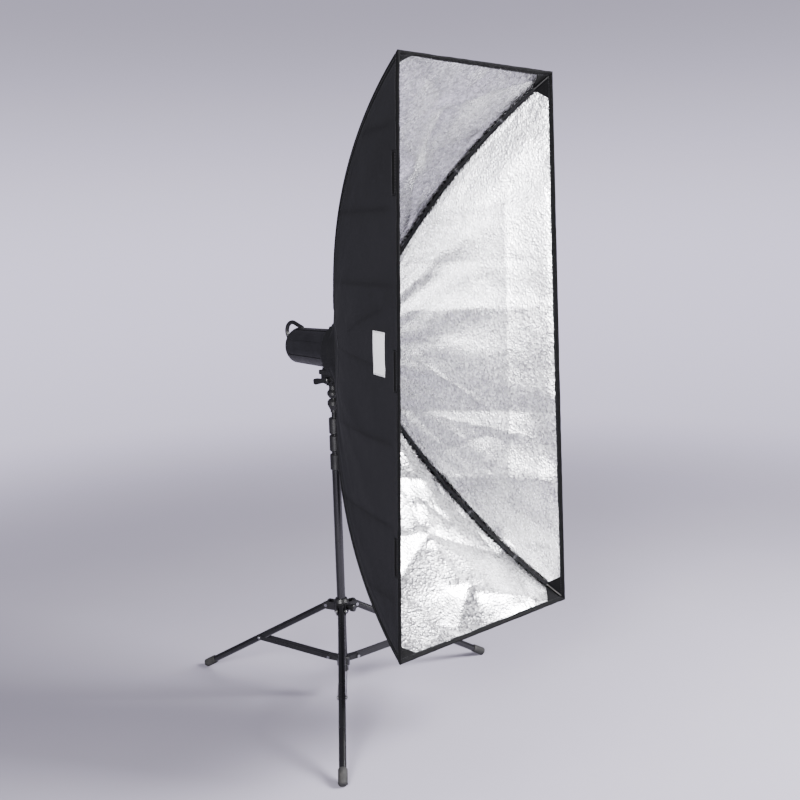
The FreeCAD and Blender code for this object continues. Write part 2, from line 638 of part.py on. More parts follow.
# Rear controls, each centre given as right and up in the head's frame.
INLET = (0, -25)
ROCKER = (28, -14)
DIALS = {"power_dial": (-21, 18), "lamp_dial": (21, 18)}
BUTTON = (-28, -6)
SYNC = (-28, -21)
ROCKER_TILT = 8
ROCKER_PIN_RADIUS = 1
SYNC_RADIUS = 3.2
SHAFT_RADIUS = 3
BUTTON_RADIUS = 4
DIAL_RADIUS = 9


def around_spot(spot, half_x, half_y, z):
    return block((spot[0] - half_x, spot[0] + half_x), (spot[1] - half_y, spot[1] + half_y), z)


through = ("-panel_rear - 2", "-panel_rear + panel_thick + 2")
panel_disc = turned([
    (0, "-panel_rear"), ("panel_radius", "-panel_rear"), ("panel_radius", "-panel_rear + panel_thick"),
    (AXLE_RADIUS, "-panel_rear + panel_thick"), (AXLE_RADIUS, "-head_rear + 48"), (0, "-head_rear + 48"),
])
panel_holes = [around_spot(INLET, 13.8, 10.1, through), around_spot(ROCKER, 6.6, 9.9, through),
               cylinder(BUTTON_RADIUS + 0.3, 20, BUTTON[0], BUTTON[1], "-panel_rear - 7"),
               cylinder(SYNC_RADIUS, 20, SYNC[0], SYNC[1], "-panel_rear - 7")]
panel_holes += [cylinder(SHAFT_RADIUS + 0.05, 20, x, y, "-panel_rear - 7") for x, y in DIALS.values()]
keep("rear_panel", cut(panel_disc, *panel_holes), HEAD)

inlet_flange = around_spot(INLET, 15.5, 11.5, ("-panel_rear - 2", "-panel_rear"))
inlet_shell = around_spot(INLET, 13.7, 10, ("-panel_rear", "-panel_rear + 20"))
inlet_recess = around_spot(INLET, 12, 8.2, ("-panel_rear - 3", "-panel_rear + 16"))
inlet_pins = [around_spot((INLET[0] + x, INLET[1] + y), 1, 2, ("-panel_rear + 4", "-panel_rear + 17"))
              for x, y in ((-7, -2), (0, 2.5), (7, -2))]
keep("mains_inlet", fused(cut(fused(inlet_flange, inlet_shell), inlet_recess), *inlet_pins), HEAD)

rocker_block = around_spot((0, 0), 6.2, 9.2, (-3.5, 3.5))
rocker_bore = cylinder(ROCKER_PIN_RADIUS, 14, -7, 0, 0, ALONG_X)
keep("power_rocker", cut(rocker_block, rocker_bore), HEAD * shift(
    ROCKER[0], ROCKER[1], -size("panel_rear"), Rotation(Vector(1, 0, 0), ROCKER_TILT)))

for name, (x, y) in DIALS.items():
    dial = turned([
        (0, "-panel_rear - 13"), (DIAL_RADIUS - 1, "-panel_rear - 13"), (DIAL_RADIUS, "-panel_rear - 12"),
        (DIAL_RADIUS, "-panel_rear - 0.5"), (SHAFT_RADIUS, "-panel_rear - 0.5"),
        (SHAFT_RADIUS, "-panel_rear + 9"), (0, "-panel_rear + 9"),
    ])
    keep(name, dial, HEAD * shift(x, y, 0))
keep("test_button", turned([
    (0, "-panel_rear - 3"), (BUTTON_RADIUS - 1, "-panel_rear - 3"), (BUTTON_RADIUS, "-panel_rear - 2"),
    (BUTTON_RADIUS, "-panel_rear + 6"), (0, "-panel_rear + 6"),
]), HEAD * shift(BUTTON[0], BUTTON[1], 0))

# Grab handle: a D in the head's upright plane, from the rear panel up and over to the top of the case.
ARCH_RADIUS = 27
ARCH_GRIP = 6
ARCH_Y, ARCH_Z = 38, -168
ARCH_LEAN = 19.5
ARCH_TOP_RUN = 36


def arch_point(angle):
    """A point of the handle's arc, measured up from the way forward."""
    turn = math.radians(angle)
    return Vector(0, ARCH_Y + ARCH_RADIUS * math.sin(turn), ARCH_Z + ARCH_RADIUS * math.cos(turn))


lean = math.radians(ARCH_LEAN)
arch_low = arch_point(270)
arch_high = arch_point(90 - ARCH_LEAN)
arch_foot = Vector(0, arch_low.y, -size("panel_rear") + 2)
arch_top = arch_high + Vector(0, -math.sin(lean), math.cos(lean)) * ARCH_TOP_RUN
arch_wire = Part.Wire([
    Part.LineSegment(arch_foot, arch_low).toShape(),
    Part.Arc(arch_low, arch_point(180), arch_high).toShape(),
    Part.LineSegment(arch_high, arch_top).toShape(),
])
arch_ring = Part.Wire([Part.makeCircle(ARCH_GRIP, arch_foot, Vector(0, 0, -1))])
arch_solid = shaped(arch_wire.makePipeShell([arch_ring], True, False))
envelope = turned([
    (0, "-panel_rear - seat_gap"), ("panel_radius + 0.1", "-panel_rear - seat_gap"),
    ("panel_radius + 0.1", "-head_rear - seat_gap"), (f"{rear_edge} + seat_gap", "-head_rear - seat_gap"),
    (f"{rear_radius} + seat_gap", "-head_rear + 6"), ("head_radius + seat_gap", 0), (0, 0),
])
keep("grab_handle", cut(arch_solid, envelope), HEAD)

keep("release_catch", cut(block((-6, 6), ("head_radius", "head_radius + 6"), (22, 35)),
                          cylinder("head_radius + slide_gap", 60, 0, 0, 0)), HEAD)


# ---------------------------------------------------------------- speed ring, rods and fabric
FORWARD = Vector(0, 0, 1)
CORNERS = [(-1, 1), (1, 1), (1, -1), (-1, -1)]


def seam_arc(side, rise):
    """The bowed line from the speed ring to one corner of the face."""
    reach = size("rod_start_radius") * math.sqrt(0.5)
    start = Vector(side * reach, rise * reach, size("rod_start"))
    end = Vector(side * size("box_width") / 2, rise * size("box_height") / 2 + size("rim_rise"),
                 size("box_reach") - size("box_twist") * side * rise)
    chord = end - start
    along = Vector(chord).normalize()
    outward = (chord - FORWARD * chord.dot(FORWARD)).normalize()
    bulge = (outward * along.dot(FORWARD) - FORWARD * along.dot(outward)).normalize()
    middle = (start + end) * 0.5 + bulge * size("rod_bow")
    return Part.Arc(start, middle, end).toShape()


seams = [seam_arc(side, rise) for side, rise in CORNERS]
PANEL_START = 0.13
STATIONS = 9


def seam_point(number, share):
    edge = seams[number % 4]
    here = edge.FirstParameter + (edge.LastParameter - edge.FirstParameter) * share
    return edge.valueAt(here), edge.tangentAt(here)


def inset_point(number, share, depth):
    """A point inside the corner, at the same depth from both panels that meet there."""
    point, tangent = seam_point(number, share)
    before = (seam_point(number - 1, share)[0] - point).normalize()
    after = (seam_point(number + 1, share)[0] - point).normalize()
    inward = []
    for way, other in ((before, after), (after, before)):
        normal = way.cross(tangent).normalize()
        inward.append(normal if normal.dot(other) > 0 else normal * -1)
    mitre = (inward[0] + inward[1]) * (1 / (1 + inward[0].dot(inward[1])))
    return point + mitre * depth


def facet(*corners):
    return Part.Face(Part.makePolygon([*corners, corners[0]]))


def band(loop_a, loop_b):
    """The triangles between two closed loops of as many points."""
    faces = []
    count = len(loop_a)
    for i in range(count):
        following = (i + 1) % count
        faces.append(facet(loop_a[i], loop_a[following], loop_b[i]))
        faces.append(facet(loop_a[following], loop_b[following], loop_b[i]))
    return faces


def sewn(faces):
    """A solid from faces that meet along their edges."""
    shell = Part.makeShell(faces)
    shell.sewShape()
    solid = Part.makeSolid(Part.Shell(shell.Faces))
    return shaped(solid if solid.Volume > 0 else solid.reversed())


def fabric_panel(number):
    """The panel between one seam and the next, as a thin closed solid."""
    loops = []
    for i in range(STATIONS):
        share = PANEL_START + (1 - PANEL_START) * i / (STATIONS - 1)
        outer = [seam_point(number, share)[0], seam_point(number + 1, share)[0]]
        inner = [inset_point(number, share, size("cloth_thick")),
                 inset_point(number + 1, share, size("cloth_thick"))]
        ruling = (outer[1] - outer[0]).normalize() * size("cloth_gap")
        loops.append([outer[0] + ruling, outer[1] - ruling, inner[1] - ruling, inner[0] + ruling])
    faces = []
    for first, second in zip(loops, loops[1:]):
        faces += band(first, second)
    for a, b, c, d in (loops[0], loops[-1]):
        faces += [facet(a, b, c), facet(a, c, d)]
    return sewn(faces)


for number, name in enumerate(["panel_top", "panel_right", "panel_bottom", "panel_left"]):
    keep(name, fabric_panel(number), HEAD)

ROD_DEPTH = 6
ROD_FROM = 0.015
ROD_TO = 0.985
ring_body = turned([
    ("ring_inner", "ring_back"), ("ring_outer", "ring_back"), ("ring_outer", "ring_front"),
    ("ring_inner", "ring_front"),
])


def rod_arc(number):
    """The rod inside the corner, in front of the seam."""
    places = [inset_point(number, share, ROD_DEPTH) for share in (ROD_FROM, 0.5, ROD_TO)]
    return Part.Arc(*places).toShape()


rods = []
sockets = []
socket_holes = []
SOCKET_LENGTH = 16
for number in range(4):
    arc = rod_arc(number)
    start = arc.valueAt(arc.FirstParameter)
    way = arc.tangentAt(arc.FirstParameter)
    circle = Part.Wire([Part.makeCircle(size("rod_radius"), start, way)])
    rods.append(shaped(Part.Wire([arc]).makePipeShell([circle], True, False)))
    sockets.append(shaped(Part.makeCylinder(6, SOCKET_LENGTH + 4, start - way * 4, way)))
    socket_holes.append(shaped(Part.makeCylinder(size("rod_radius") + 0.25, SOCKET_LENGTH * 2, start, way)))
keep("tension_rods", grouped(*rods), HEAD)
ring_bore = cylinder("ring_inner", 100, 0, 0, 0)
keep("speed_ring", cut(fused(ring_body, *sockets), ring_bore, *socket_holes), HEAD)


def neck_loop(place, depth):
    """One cross-section of the neck: the panels' rear edge, or a circle at the given place."""
    quarter = [seam_point(number, PANEL_START)[0] for number in range(4)]
    points = []
    for number in range(4):
        side = quarter[(number + 1) % 4] - quarter[number]
        for step in range(NECK_STEPS):
            point = quarter[number] + side * (step / NECK_STEPS)
            outward = Vector(point.x, point.y, 0).normalize()
            if place is None:
                points.append(point - FORWARD * 0.4 - outward * depth * 1.6)
            else:
                points.append(outward * (size("neck_radius") - depth) + FORWARD * place)
    return points


NECK_STEPS = 4
neck_places = [None, size("ring_front") - 4, size("neck_back")]
neck_outer = [neck_loop(place, 0) for place in neck_places]
neck_inner = [neck_loop(place, size("cloth_thick")) for place in neck_places]
neck_faces = []
for loops in (neck_outer, neck_inner):
    for first, second in zip(loops, loops[1:]):
        neck_faces += band(first, second)
for place in (0, -1):
    neck_faces += band(neck_outer[place], neck_inner[place])
keep("neck_cuff", sewn(neck_faces), HEAD)


# ---------------------------------------------------------------- check and write
doc.recompute()
for obj in doc.Objects:
    if "Invalid" in obj.State or "Error" in obj.State:
        raise RuntimeError(f"{obj.Name} ({obj.Label}) did not compute: {obj.State}")
whole = FreeCAD.BoundBox()
for name, obj in nodes.items():
    shape = obj.Shape
    if shape.isNull() or not shape.isValid() or not shape.Solids:
        raise RuntimeError(f"{name} has no valid solid")
    whole.add(shape.BoundBox)
    print(f"{name}: {len(shape.Solids)} solid(s), {shape.Volume / 1000:.1f} cm3")
    shape.exportStep(os.path.join(NODE_FOLDER, f"{name}.step"))
print(f"{len(nodes)} nodes, outline {whole}")
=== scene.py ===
import json
import math

import bmesh
import bpy
import numpy as np
from mathutils import Matrix, Vector

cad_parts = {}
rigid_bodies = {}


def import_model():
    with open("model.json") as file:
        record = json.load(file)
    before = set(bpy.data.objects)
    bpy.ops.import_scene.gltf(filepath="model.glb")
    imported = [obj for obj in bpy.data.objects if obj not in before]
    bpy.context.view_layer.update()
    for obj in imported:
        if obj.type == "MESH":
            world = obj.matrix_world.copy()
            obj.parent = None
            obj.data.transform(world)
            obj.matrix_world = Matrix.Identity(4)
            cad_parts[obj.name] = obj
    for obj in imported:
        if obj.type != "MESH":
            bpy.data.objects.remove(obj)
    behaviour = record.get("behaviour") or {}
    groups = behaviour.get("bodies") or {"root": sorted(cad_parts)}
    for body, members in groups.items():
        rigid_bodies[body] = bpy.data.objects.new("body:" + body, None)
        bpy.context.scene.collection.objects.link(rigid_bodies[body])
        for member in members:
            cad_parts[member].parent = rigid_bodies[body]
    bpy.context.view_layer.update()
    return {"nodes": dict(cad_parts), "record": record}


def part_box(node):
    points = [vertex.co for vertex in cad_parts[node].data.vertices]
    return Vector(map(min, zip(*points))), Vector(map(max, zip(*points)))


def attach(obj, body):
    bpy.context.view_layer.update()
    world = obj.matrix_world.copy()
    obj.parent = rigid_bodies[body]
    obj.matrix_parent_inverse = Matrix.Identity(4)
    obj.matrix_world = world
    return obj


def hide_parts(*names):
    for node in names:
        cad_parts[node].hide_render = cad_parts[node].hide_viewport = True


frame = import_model()
print("frame loaded:", len(frame["nodes"]), "nodes")


def nodeMiddle(node):
    low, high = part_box(node)
    return (low + high) / 2


columnAxis = nodeMiddle("column_tube")
headAxisHeight = nodeMiddle("glass_dome").z


def headPlace(points):
    # from (right, up, forward) of the flash head's axis to the frame's own axes
    points = np.asarray(points, float)
    return np.stack([
        columnAxis.x + points[..., 0], columnAxis.y - points[..., 2], headAxisHeight + points[..., 1],
    ], axis=-1)


def headTurn(vectors):
    vectors = np.asarray(vectors, float)
    return np.stack([vectors[..., 0], -vectors[..., 2], vectors[..., 1]], axis=-1)


# camera, floor and studio light
cameraSetting = {
    "beside": -1.968, "ahead": -2.228, "height": 1.439,  # metres from the column's foot
    "heading": 44.91, "pitch": 10.38, "roll": -1.49, "lens": 47.67,
}


def makeCamera():
    heading, pitch, roll = (math.radians(cameraSetting[name]) for name in ("heading", "pitch", "roll"))
    level = Vector((math.cos(heading), math.sin(heading), 0))
    side = Vector((math.sin(heading), -math.cos(heading), 0))
    upright = Vector((0, 0, 1))
    look = level * math.cos(pitch) - upright * math.sin(pitch)
    lift = upright * math.cos(pitch) + level * math.sin(pitch)
    right = side * math.cos(roll) + lift * math.sin(roll)
    top = lift * math.cos(roll) - side * math.sin(roll)
    camera = bpy.data.objects.new("camera", bpy.data.cameras.new("camera"))
    bpy.context.scene.collection.objects.link(camera)
    matrix = Matrix((right, top, -look)).transposed().to_4x4()
    matrix.translation = Vector((
        columnAxis.x + cameraSetting["beside"], columnAxis.y + cameraSetting["ahead"], cameraSetting["height"],
    ))
    camera.matrix_world = matrix
    camera.data.lens = cameraSetting["lens"]
    camera.data.sensor_width = 36
    bpy.context.scene.camera = camera


makeCamera()
print("camera set")


def addNode(tree, kind, inputs=None, **settings):
    node = tree.nodes.new(kind)
    for name, value in settings.items():
        setattr(node, name, value)
    for name, value in (inputs or {}).items():
        if isinstance(value, bpy.types.NodeSocket):
            tree.links.new(value, node.inputs[name])
        else:
            node.inputs[name].default_value = value
    return node


def mixed(tree, factor, first, second):
    return addNode(tree, "ShaderNodeMix", {
        0: factor, 6: first if isinstance(first, bpy.types.NodeSocket) else (*first, 1),
        7: second if isinstance(second, bpy.types.NodeSocket) else (*second, 1),
    }, data_type="RGBA").outputs[2]


studio = {
    "floorRadius": 14.0, "floorFade": 1.2, "floorGone": 4.6,
    "floorColour": (0.34, 0.322, 0.39),
    # the backdrop as the camera sees it, at its top, middle and foot, and the light it gives
    "airTop": (0.50, 0.47, 0.60), "airMiddle": (1.20, 1.12, 1.46), "airFoot": (0.64, 0.595, 0.76),
    "airLight": (0.20, 0.19, 0.235),
    # the rise of the view between which the backdrop changes, above and below its middle
    "topRise": (-0.06, 0.19), "footRise": (-0.08, -0.42),
    # name, place, what it looks at, width, height, watts, colour
    "lights": (
        ("sideSoft", (-3.1, -1.8, 1.9), (0.1, -0.3, 1.4), 1.3, 1.4, 290, (1.0, 0.99, 1.0)),
        ("frontSoft", (-1.6, -3.9, 2.6), (0.1, -0.3, 1.0), 1.6, 1.6, 30, (1.0, 0.99, 1.0)),
        ("rightSoft", (1.6, -2.7, 2.5), (-0.1, -0.3, 1.2), 1.4, 1.4, 520, (0.99, 0.98, 1.0)),
    ),
}


def makeFloor():
    bpy.ops.mesh.primitive_circle_add(vertices=96, radius=studio["floorRadius"], fill_type="NGON")
    floor = bpy.context.object
    floor.name = "studioFloor"
    floor.location.z = -0.0006
    material = bpy.data.materials.new("floorPaper")
    material.use_nodes = True
    tree = material.node_tree
    shader = tree.nodes["Principled BSDF"]
    shader.inputs["Roughness"].default_value = 0.75
    shader.inputs["Specular IOR Level"].default_value = 0.25
    place = addNode(tree, "ShaderNodeTexCoord").outputs["Object"]
    mottle = addNode(tree, "ShaderNodeTexNoise", {"Vector": place, "Scale": 2.3, "Detail": 6.0})
    tone = mixed(tree, mottle.outputs["Fac"], [c * 0.96 for c in studio["floorColour"]],
                 [c * 1.03 for c in studio["floorColour"]])
    tree.links.new(tone, shader.inputs["Base Color"])
    distance = addNode(tree, "ShaderNodeVectorMath", {0: place}, operation="LENGTH")
    fade = addNode(tree, "ShaderNodeMapRange", {
        "Value": distance.outputs["Value"], "From Min": studio["floorFade"], "From Max": studio["floorGone"],
    }, interpolation_type="SMOOTHSTEP")
    clear = addNode(tree, "ShaderNodeBsdfTransparent")
    blendShader = addNode(tree, "ShaderNodeMixShader", {
        0: fade.outputs["Result"], 1: shader.outputs[0], 2: clear.outputs[0],
    })
    tree.links.new(blendShader.outputs[0], tree.nodes["Material Output"].inputs["Surface"])
    floor.data.materials.append(material)


def makeLight():
    world = bpy.data.worlds.new("studioAir")
    world.use_nodes = True
    tree = world.node_tree
    way = addNode(tree, "ShaderNodeTexCoord").outputs["Generated"]
    rise = addNode(tree, "ShaderNodeSeparateXYZ", {"Vector": way}).outputs["Z"]
    backdrop = studio["airMiddle"]
    for reach, colour in ((studio["topRise"], studio["airTop"]), (studio["footRise"], studio["airFoot"])):
        change = addNode(tree, "ShaderNodeMapRange", {
            "Value": rise, "From Min": reach[0], "From Max": reach[1],
        }, interpolation_type="SMOOTHSTEP")
        backdrop = mixed(tree, change.outputs["Result"], backdrop, colour)
    seen = addNode(tree, "ShaderNodeLightPath").outputs["Is Camera Ray"]
    tree.links.new(mixed(tree, seen, studio["airLight"], backdrop), tree.nodes["Background"].inputs["Color"])
    bpy.context.scene.world = world
    for name, place, target, width, height, watts, colour in studio["lights"]:
        lamp = bpy.data.lights.new(name, "AREA")
        lamp.shape = "RECTANGLE"
        lamp.size, lamp.size_y = width, height
        lamp.energy, lamp.color = watts, colour
        holder = bpy.data.objects.new(name, lamp)
        holder.location = place
        holder.rotation_euler = (Vector(target) - Vector(place)).to_track_quat("-Z", "Y").to_euler()
        bpy.context.scene.collection.objects.link(holder)


makeFloor()
makeLight()
print("studio made")


# finishes
def startFinish(name, colour, roughness, metallic=0.0, specular=0.5):
    material = bpy.data.materials.new(name)
    material.use_nodes = True
    shader = material.node_tree.nodes["Principled BSDF"]
    shader.inputs["Base Color"].default_value = (*colour, 1)
    shader.inputs["Roughness"].default_value = roughness
    shader.inputs["Metallic"].default_value = metallic
    shader.inputs["Specular IOR Level"].default_value = specular
    return material, material.node_tree, shader


def objectPlace(tree):
    return addNode(tree, "ShaderNodeTexCoord").outputs["Object"]


def clothPlace(tree):
    return addNode(tree, "ShaderNodeUVMap", uv_map="cloth").outputs["UV"]


def noise(tree, place, scale, detail=3.0, roughness=0.55):
    return addNode(tree, "ShaderNodeTexNoise", {
        "Vector": place, "Scale": scale, "Detail": detail, "Roughness": roughness,
    }).outputs["Fac"]


def cells(tree, place, scale):
    return addNode(tree, "ShaderNodeTexVoronoi", {
        "Vector": place, "Scale": scale, "Smoothness": 0.4,
    }, feature="SMOOTH_F1").outputs["Distance"]


def eased(tree, value, low, high, toLow, toHigh):
    return addNode(tree, "ShaderNodeMapRange", {
        "Value": value, "From Min": low, "From Max": high, "To Min": toLow, "To Max": toHigh,
    }).outputs["Result"]


def calculated(tree, operation, first, second):
    return addNode(tree, "ShaderNodeMath", {0: first, 1: second}, operation=operation).outputs[0]


def bumped(tree, height, strength, distance, below=None):
    inputs = {"Height": height, "Strength": strength, "Distance": distance}
    if below is not None:
        inputs["Normal"] = below
    return addNode(tree, "ShaderNodeBump", inputs).outputs["Normal"]


def stretchedPlace(tree, place, scale):
    return addNode(tree, "ShaderNodeMapping", {"Vector": place, "Scale": scale}).outputs[0]


def makeMouldedNylon(name, colour, roughness, grain, specular=0.45):
    # fine spark-eroded grain, faint dust in the hollows and slightly uneven gloss
    material, tree, shader = startFinish(name, colour, roughness, specular=specular)
    place = objectPlace(tree)
    blotch = noise(tree, place, 26, 5)
    shade = mixed(tree, eased(tree, blotch, 0.35, 0.7, 0, 1), [c * 0.8 for c in colour], [c * 1.35 for c in colour])
    tree.links.new(shade, shader.inputs["Base Color"])
    gloss = eased(tree, noise(tree, place, 60, 4), 0.3, 0.7, roughness * 0.85, min(1, roughness * 1.2))
    tree.links.new(gloss, shader.inputs["Roughness"])
    pits = bumped(tree, cells(tree, place, grain), 0.35, 0.0003)
    tree.links.new(bumped(tree, blotch, 0.12, 0.001, pits), shader.inputs["Normal"])
    return material


def makeLacquer(name, colour, roughness, wear):
    # smooth stoved or anodised black with fine lengthwise scuffs
    material, tree, shader = startFinish(name, colour, roughness, specular=0.6)
    place = objectPlace(tree)
    scuff = noise(tree, stretchedPlace(tree, place, (900, 900, 18)), 1.0, 2)
    cloud = noise(tree, place, 14, 4)
    marks = eased(tree, calculated(tree, "MULTIPLY", scuff, cloud), 0.30, 0.48, 0, wear)
    shade = mixed(tree, marks, colour, [c * 2.4 + 0.01 for c in colour])
    tree.links.new(shade, shader.inputs["Base Color"])
    tree.links.new(eased(tree, cloud, 0.3, 0.7, roughness * 0.8, roughness * 1.35), shader.inputs["Roughness"])
    tree.links.new(bumped(tree, scuff, 0.06, 0.0002), shader.inputs["Normal"])
    return material


def makeBareMetal(name, colour, roughness, lay):
    material, tree, shader = startFinish(name, colour, roughness, metallic=1.0)
    place = objectPlace(tree)
    lines = noise(tree, stretchedPlace(tree, place, lay), 1.0, 3)
    cloud = noise(tree, place, 30, 4)
    shade = mixed(tree, eased(tree, cloud, 0.35, 0.65, 0, 1), [c * 0.82 for c in colour], colour)
    tree.links.new(shade, shader.inputs["Base Color"])
    tree.links.new(eased(tree, lines, 0.3, 0.7, roughness * 0.75, roughness * 1.3), shader.inputs["Roughness"])
    tree.links.new(bumped(tree, lines, 0.08, 0.0002), shader.inputs["Normal"])
    return material


def makeRubber(name, colour):
    material, tree, shader = startFinish(name, colour, 0.72, specular=0.35)
    place = objectPlace(tree)
    dust = eased(tree, noise(tree, place, 45, 6, 0.65), 0.45, 0.75, 0, 0.6)
    tree.links.new(mixed(tree, dust, colour, (0.075, 0.072, 0.07)), shader.inputs["Base Color"])
    tree.links.new(bumped(tree, noise(tree, place, 900, 2), 0.3, 0.0004), shader.inputs["Normal"])
    return material


def makeGlass(name, colour, roughness, transmission):
    material, tree, shader = startFinish(name, colour, roughness)
    shader.inputs["Transmission Weight"].default_value = transmission
    shader.inputs["IOR"].default_value = 1.47
    frost = noise(tree, objectPlace(tree), 420, 3)
    tree.links.new(eased(tree, frost, 0.3, 0.7, roughness * 0.8, roughness * 1.2), shader.inputs["Roughness"])
    tree.links.new(bumped(tree, frost, 0.1, 0.0002), shader.inputs["Normal"])
    return material


def makeBoard(name):
    # lacquered board with paler tracks
    material, tree, shader = startFinish(name, (0.03, 0.12, 0.06), 0.35)
    tracks = addNode(tree, "ShaderNodeTexBrick", {
        "Vector": objectPlace(tree), "Scale": 55.0, "Mortar Size": 0.03,
        "Color1": (0.028, 0.12, 0.06, 1), "Color2": (0.034, 0.15, 0.07, 1), "Mortar": (0.06, 0.24, 0.12, 1),
    })
    tree.links.new(tracks.outputs["Color"], shader.inputs["Base Color"])
    tree.links.new(bumped(tree, tracks.outputs["Fac"], 0.3, 0.0003), shader.inputs["Normal"])
    return material


def weave(tree, place, pitch):
    # raised threads both ways, each repeating every 0.63 of the pitch
    warp, weft = (
        addNode(tree, "ShaderNodeTexWave", {"Vector": place, "Scale": 0.5 / pitch},
                wave_type="BANDS", bands_direction=way).outputs["Fac"]
        for way in ("X", "Y")
    )
    return calculated(tree, "MAXIMUM", warp, weft)


def creaseOf(tree):
    return addNode(tree, "ShaderNodeAttribute", attribute_name="crease").outputs["Fac"]


def makeBlackCloth(name, colour, roughness, pitch):
    # coated nylon: weave, painted shade as fine dark lines along the folds, faint lint
    material, tree, shader = startFinish(name, colour, roughness, specular=0.12)
    shader.inputs["Sheen Weight"].default_value = 0.02
    shader.inputs["Sheen Roughness"].default_value = 0.5
    shader.inputs["Sheen Tint"].default_value = (0.7, 0.7, 0.8, 1)
    place = clothPlace(tree)
    cloud = noise(tree, place, 5, 6, 0.6)
    lint = eased(tree, noise(tree, place, 340, 2), 0.66, 0.8, 0, 0.3)
    shade = mixed(tree, eased(tree, cloud, 0.3, 0.7, 0, 1), [c * 0.86 for c in colour], [c * 1.14 for c in colour])
    # painted shade: the base colour is darkened along each fold, where shade falls in the crease
    foldShadedCloth = mixed(tree, calculated(tree, "MULTIPLY", creaseOf(tree), 0.75), shade, [c * 0.3 for c in colour])
    tree.links.new(mixed(tree, lint, foldShadedCloth, [c * 2.2 for c in colour]), shader.inputs["Base Color"])
    tree.links.new(eased(tree, cloud, 0.3, 0.7, roughness * 0.9, roughness * 1.1), shader.inputs["Roughness"])
    threads = bumped(tree, weave(tree, place, pitch), 0.5, 0.0003)
    tree.links.new(bumped(tree, noise(tree, place, 30, 3), 0.05, 0.002, threads), shader.inputs["Normal"])
    return material


def makeSilverLining(name, colour, roughness, pebble):
    # embossed metallised film: every pebble has its own tone and gloss, with painted shade as a dark line along each
    # fold
    material, tree, shader = startFinish(name, colour, roughness, metallic=1.0)
    place = clothPlace(tree)
    warp = addNode(tree, "ShaderNodeTexNoise", {"Vector": place, "Scale": 60.0, "Detail": 2.0})
    bent = addNode(tree, "ShaderNodeVectorMath", {0: warp.outputs["Color"], 1: (0.004, 0.004, 0.0)},
                   operation="MULTIPLY")
    spot = addNode(tree, "ShaderNodeVectorMath", {0: place, 1: bent.outputs[0]}, operation="ADD")
    cell = addNode(tree, "ShaderNodeTexVoronoi", {"Vector": spot.outputs[0], "Scale": 1 / pebble})
    chance = addNode(tree, "ShaderNodeSeparateColor", {"Color": cell.outputs["Color"]})
    cloud = noise(tree, place, 7, 5, 0.6)
    tone = mixed(tree, chance.outputs[0], [c * 0.48 for c in colour], colour)
    # painted shade: the base colour is darkened along each fold, where shade falls in the crease
    foldShadedLining = mixed(tree, calculated(tree, "MULTIPLY", creaseOf(tree), 0.5), tone, [c * 0.4 for c in colour])
    tree.links.new(foldShadedLining, shader.inputs["Base Color"])
    gloss = eased(tree, chance.outputs[1], 0, 1, roughness * 0.7, roughness * 1.35)
    tree.links.new(gloss, shader.inputs["Roughness"])
    embossed = bumped(tree, cell.outputs["Distance"], 1.0, pebble * 0.11)
    fine = bumped(tree, noise(tree, place, 420, 3, 0.7), 0.5, 0.00025, embossed)
    tree.links.new(bumped(tree, cloud, 0.05, 0.003, fine), shader.inputs["Normal"])
    return material


def makeWebbing(name, colour, pitch, roughness=0.75):
    material, tree, shader = startFinish(name, colour, roughness, specular=0.1)
    place = clothPlace(tree)
    ribs = weave(tree, place, pitch)
    shade = mixed(tree, ribs, [c * 0.6 for c in colour], [c * 1.3 for c in colour])
    tree.links.new(shade, shader.inputs["Base Color"])
    tree.links.new(bumped(tree, ribs, 0.6, 0.0006), shader.inputs["Normal"])
    return material


def makeThread(name, colour):
    material, tree, shader = startFinish(name, colour, 0.6, specular=0.3)
    ply = noise(tree, objectPlace(tree), 1400, 2)
    tree.links.new(mixed(tree, ply, [c * 0.7 for c in colour], [c * 1.3 for c in colour]), shader.inputs["Base Color"])
    tree.links.new(bumped(tree, ply, 0.4, 0.0003), shader.inputs["Normal"])
    return material


finishes = {
    "tube_black": makeLacquer("tubeLacquer", (0.005, 0.005, 0.006), 0.24, 0.3),
    "casting_black": makeMouldedNylon("filledNylon", (0.007, 0.007, 0.008), 0.38, 1500),
    "knob_plastic": makeMouldedNylon("knobNylon", (0.006, 0.006, 0.007), 0.3, 1900),
    "foot_rubber": makeRubber("footRubber", (0.016, 0.016, 0.016)),
    "pin_steel": makeBareMetal("platedSteel", (0.42, 0.42, 0.44), 0.26, (600, 600, 60)),
    "strip_steel": makeLacquer("stripLacquer", (0.005, 0.005, 0.006), 0.3, 0.5),
    "guide_plastic": makeMouldedNylon("guideNylon", (0.42, 0.42, 0.42), 0.45, 900),
    "case_black": makeMouldedNylon("caseNylon", (0.007, 0.007, 0.0085), 0.34, 1300),
    "lamp_metal": makeBareMetal("spunAluminium", (0.78, 0.78, 0.79), 0.3, (60, 700, 700)),
    "lamp_glass": makeGlass("frostedGlass", (0.95, 0.95, 0.96), 0.28, 0.85),
    "board_green": makeBoard("glassFibreBoard"),
    "capacitor_sleeve": makeMouldedNylon("shrinkSleeve", (0.035, 0.04, 0.09), 0.25, 500, 0.6),
    "fan_plastic": makeMouldedNylon("fanNylon", (0.03, 0.03, 0.03), 0.5, 1200),
    "rod_steel": makeLacquer("rodLacquer", (0.012, 0.012, 0.012), 0.32, 0.3),
}
blackCloth = makeBlackCloth("coatedNylon", (0.0072, 0.0072, 0.0084), 0.62, 0.0011)
silverLining = makeSilverLining("silverLining", (0.95, 0.95, 0.97), 0.27, 0.0062)
bindingTape = makeWebbing("bindingTape", (0.0035, 0.0035, 0.004), 0.0012)
hookTape = makeWebbing("hookTape", (0.002, 0.002, 0.0022), 0.0018, 0.9)
paleLabel = makeWebbing("wovenLabel", (0.74, 0.74, 0.77), 0.0007, 0.6)
sewingThread = makeThread("sewingThread", (0.035, 0.035, 0.04))
paleTie = makeThread("paleTie", (0.10, 0.10, 0.11))
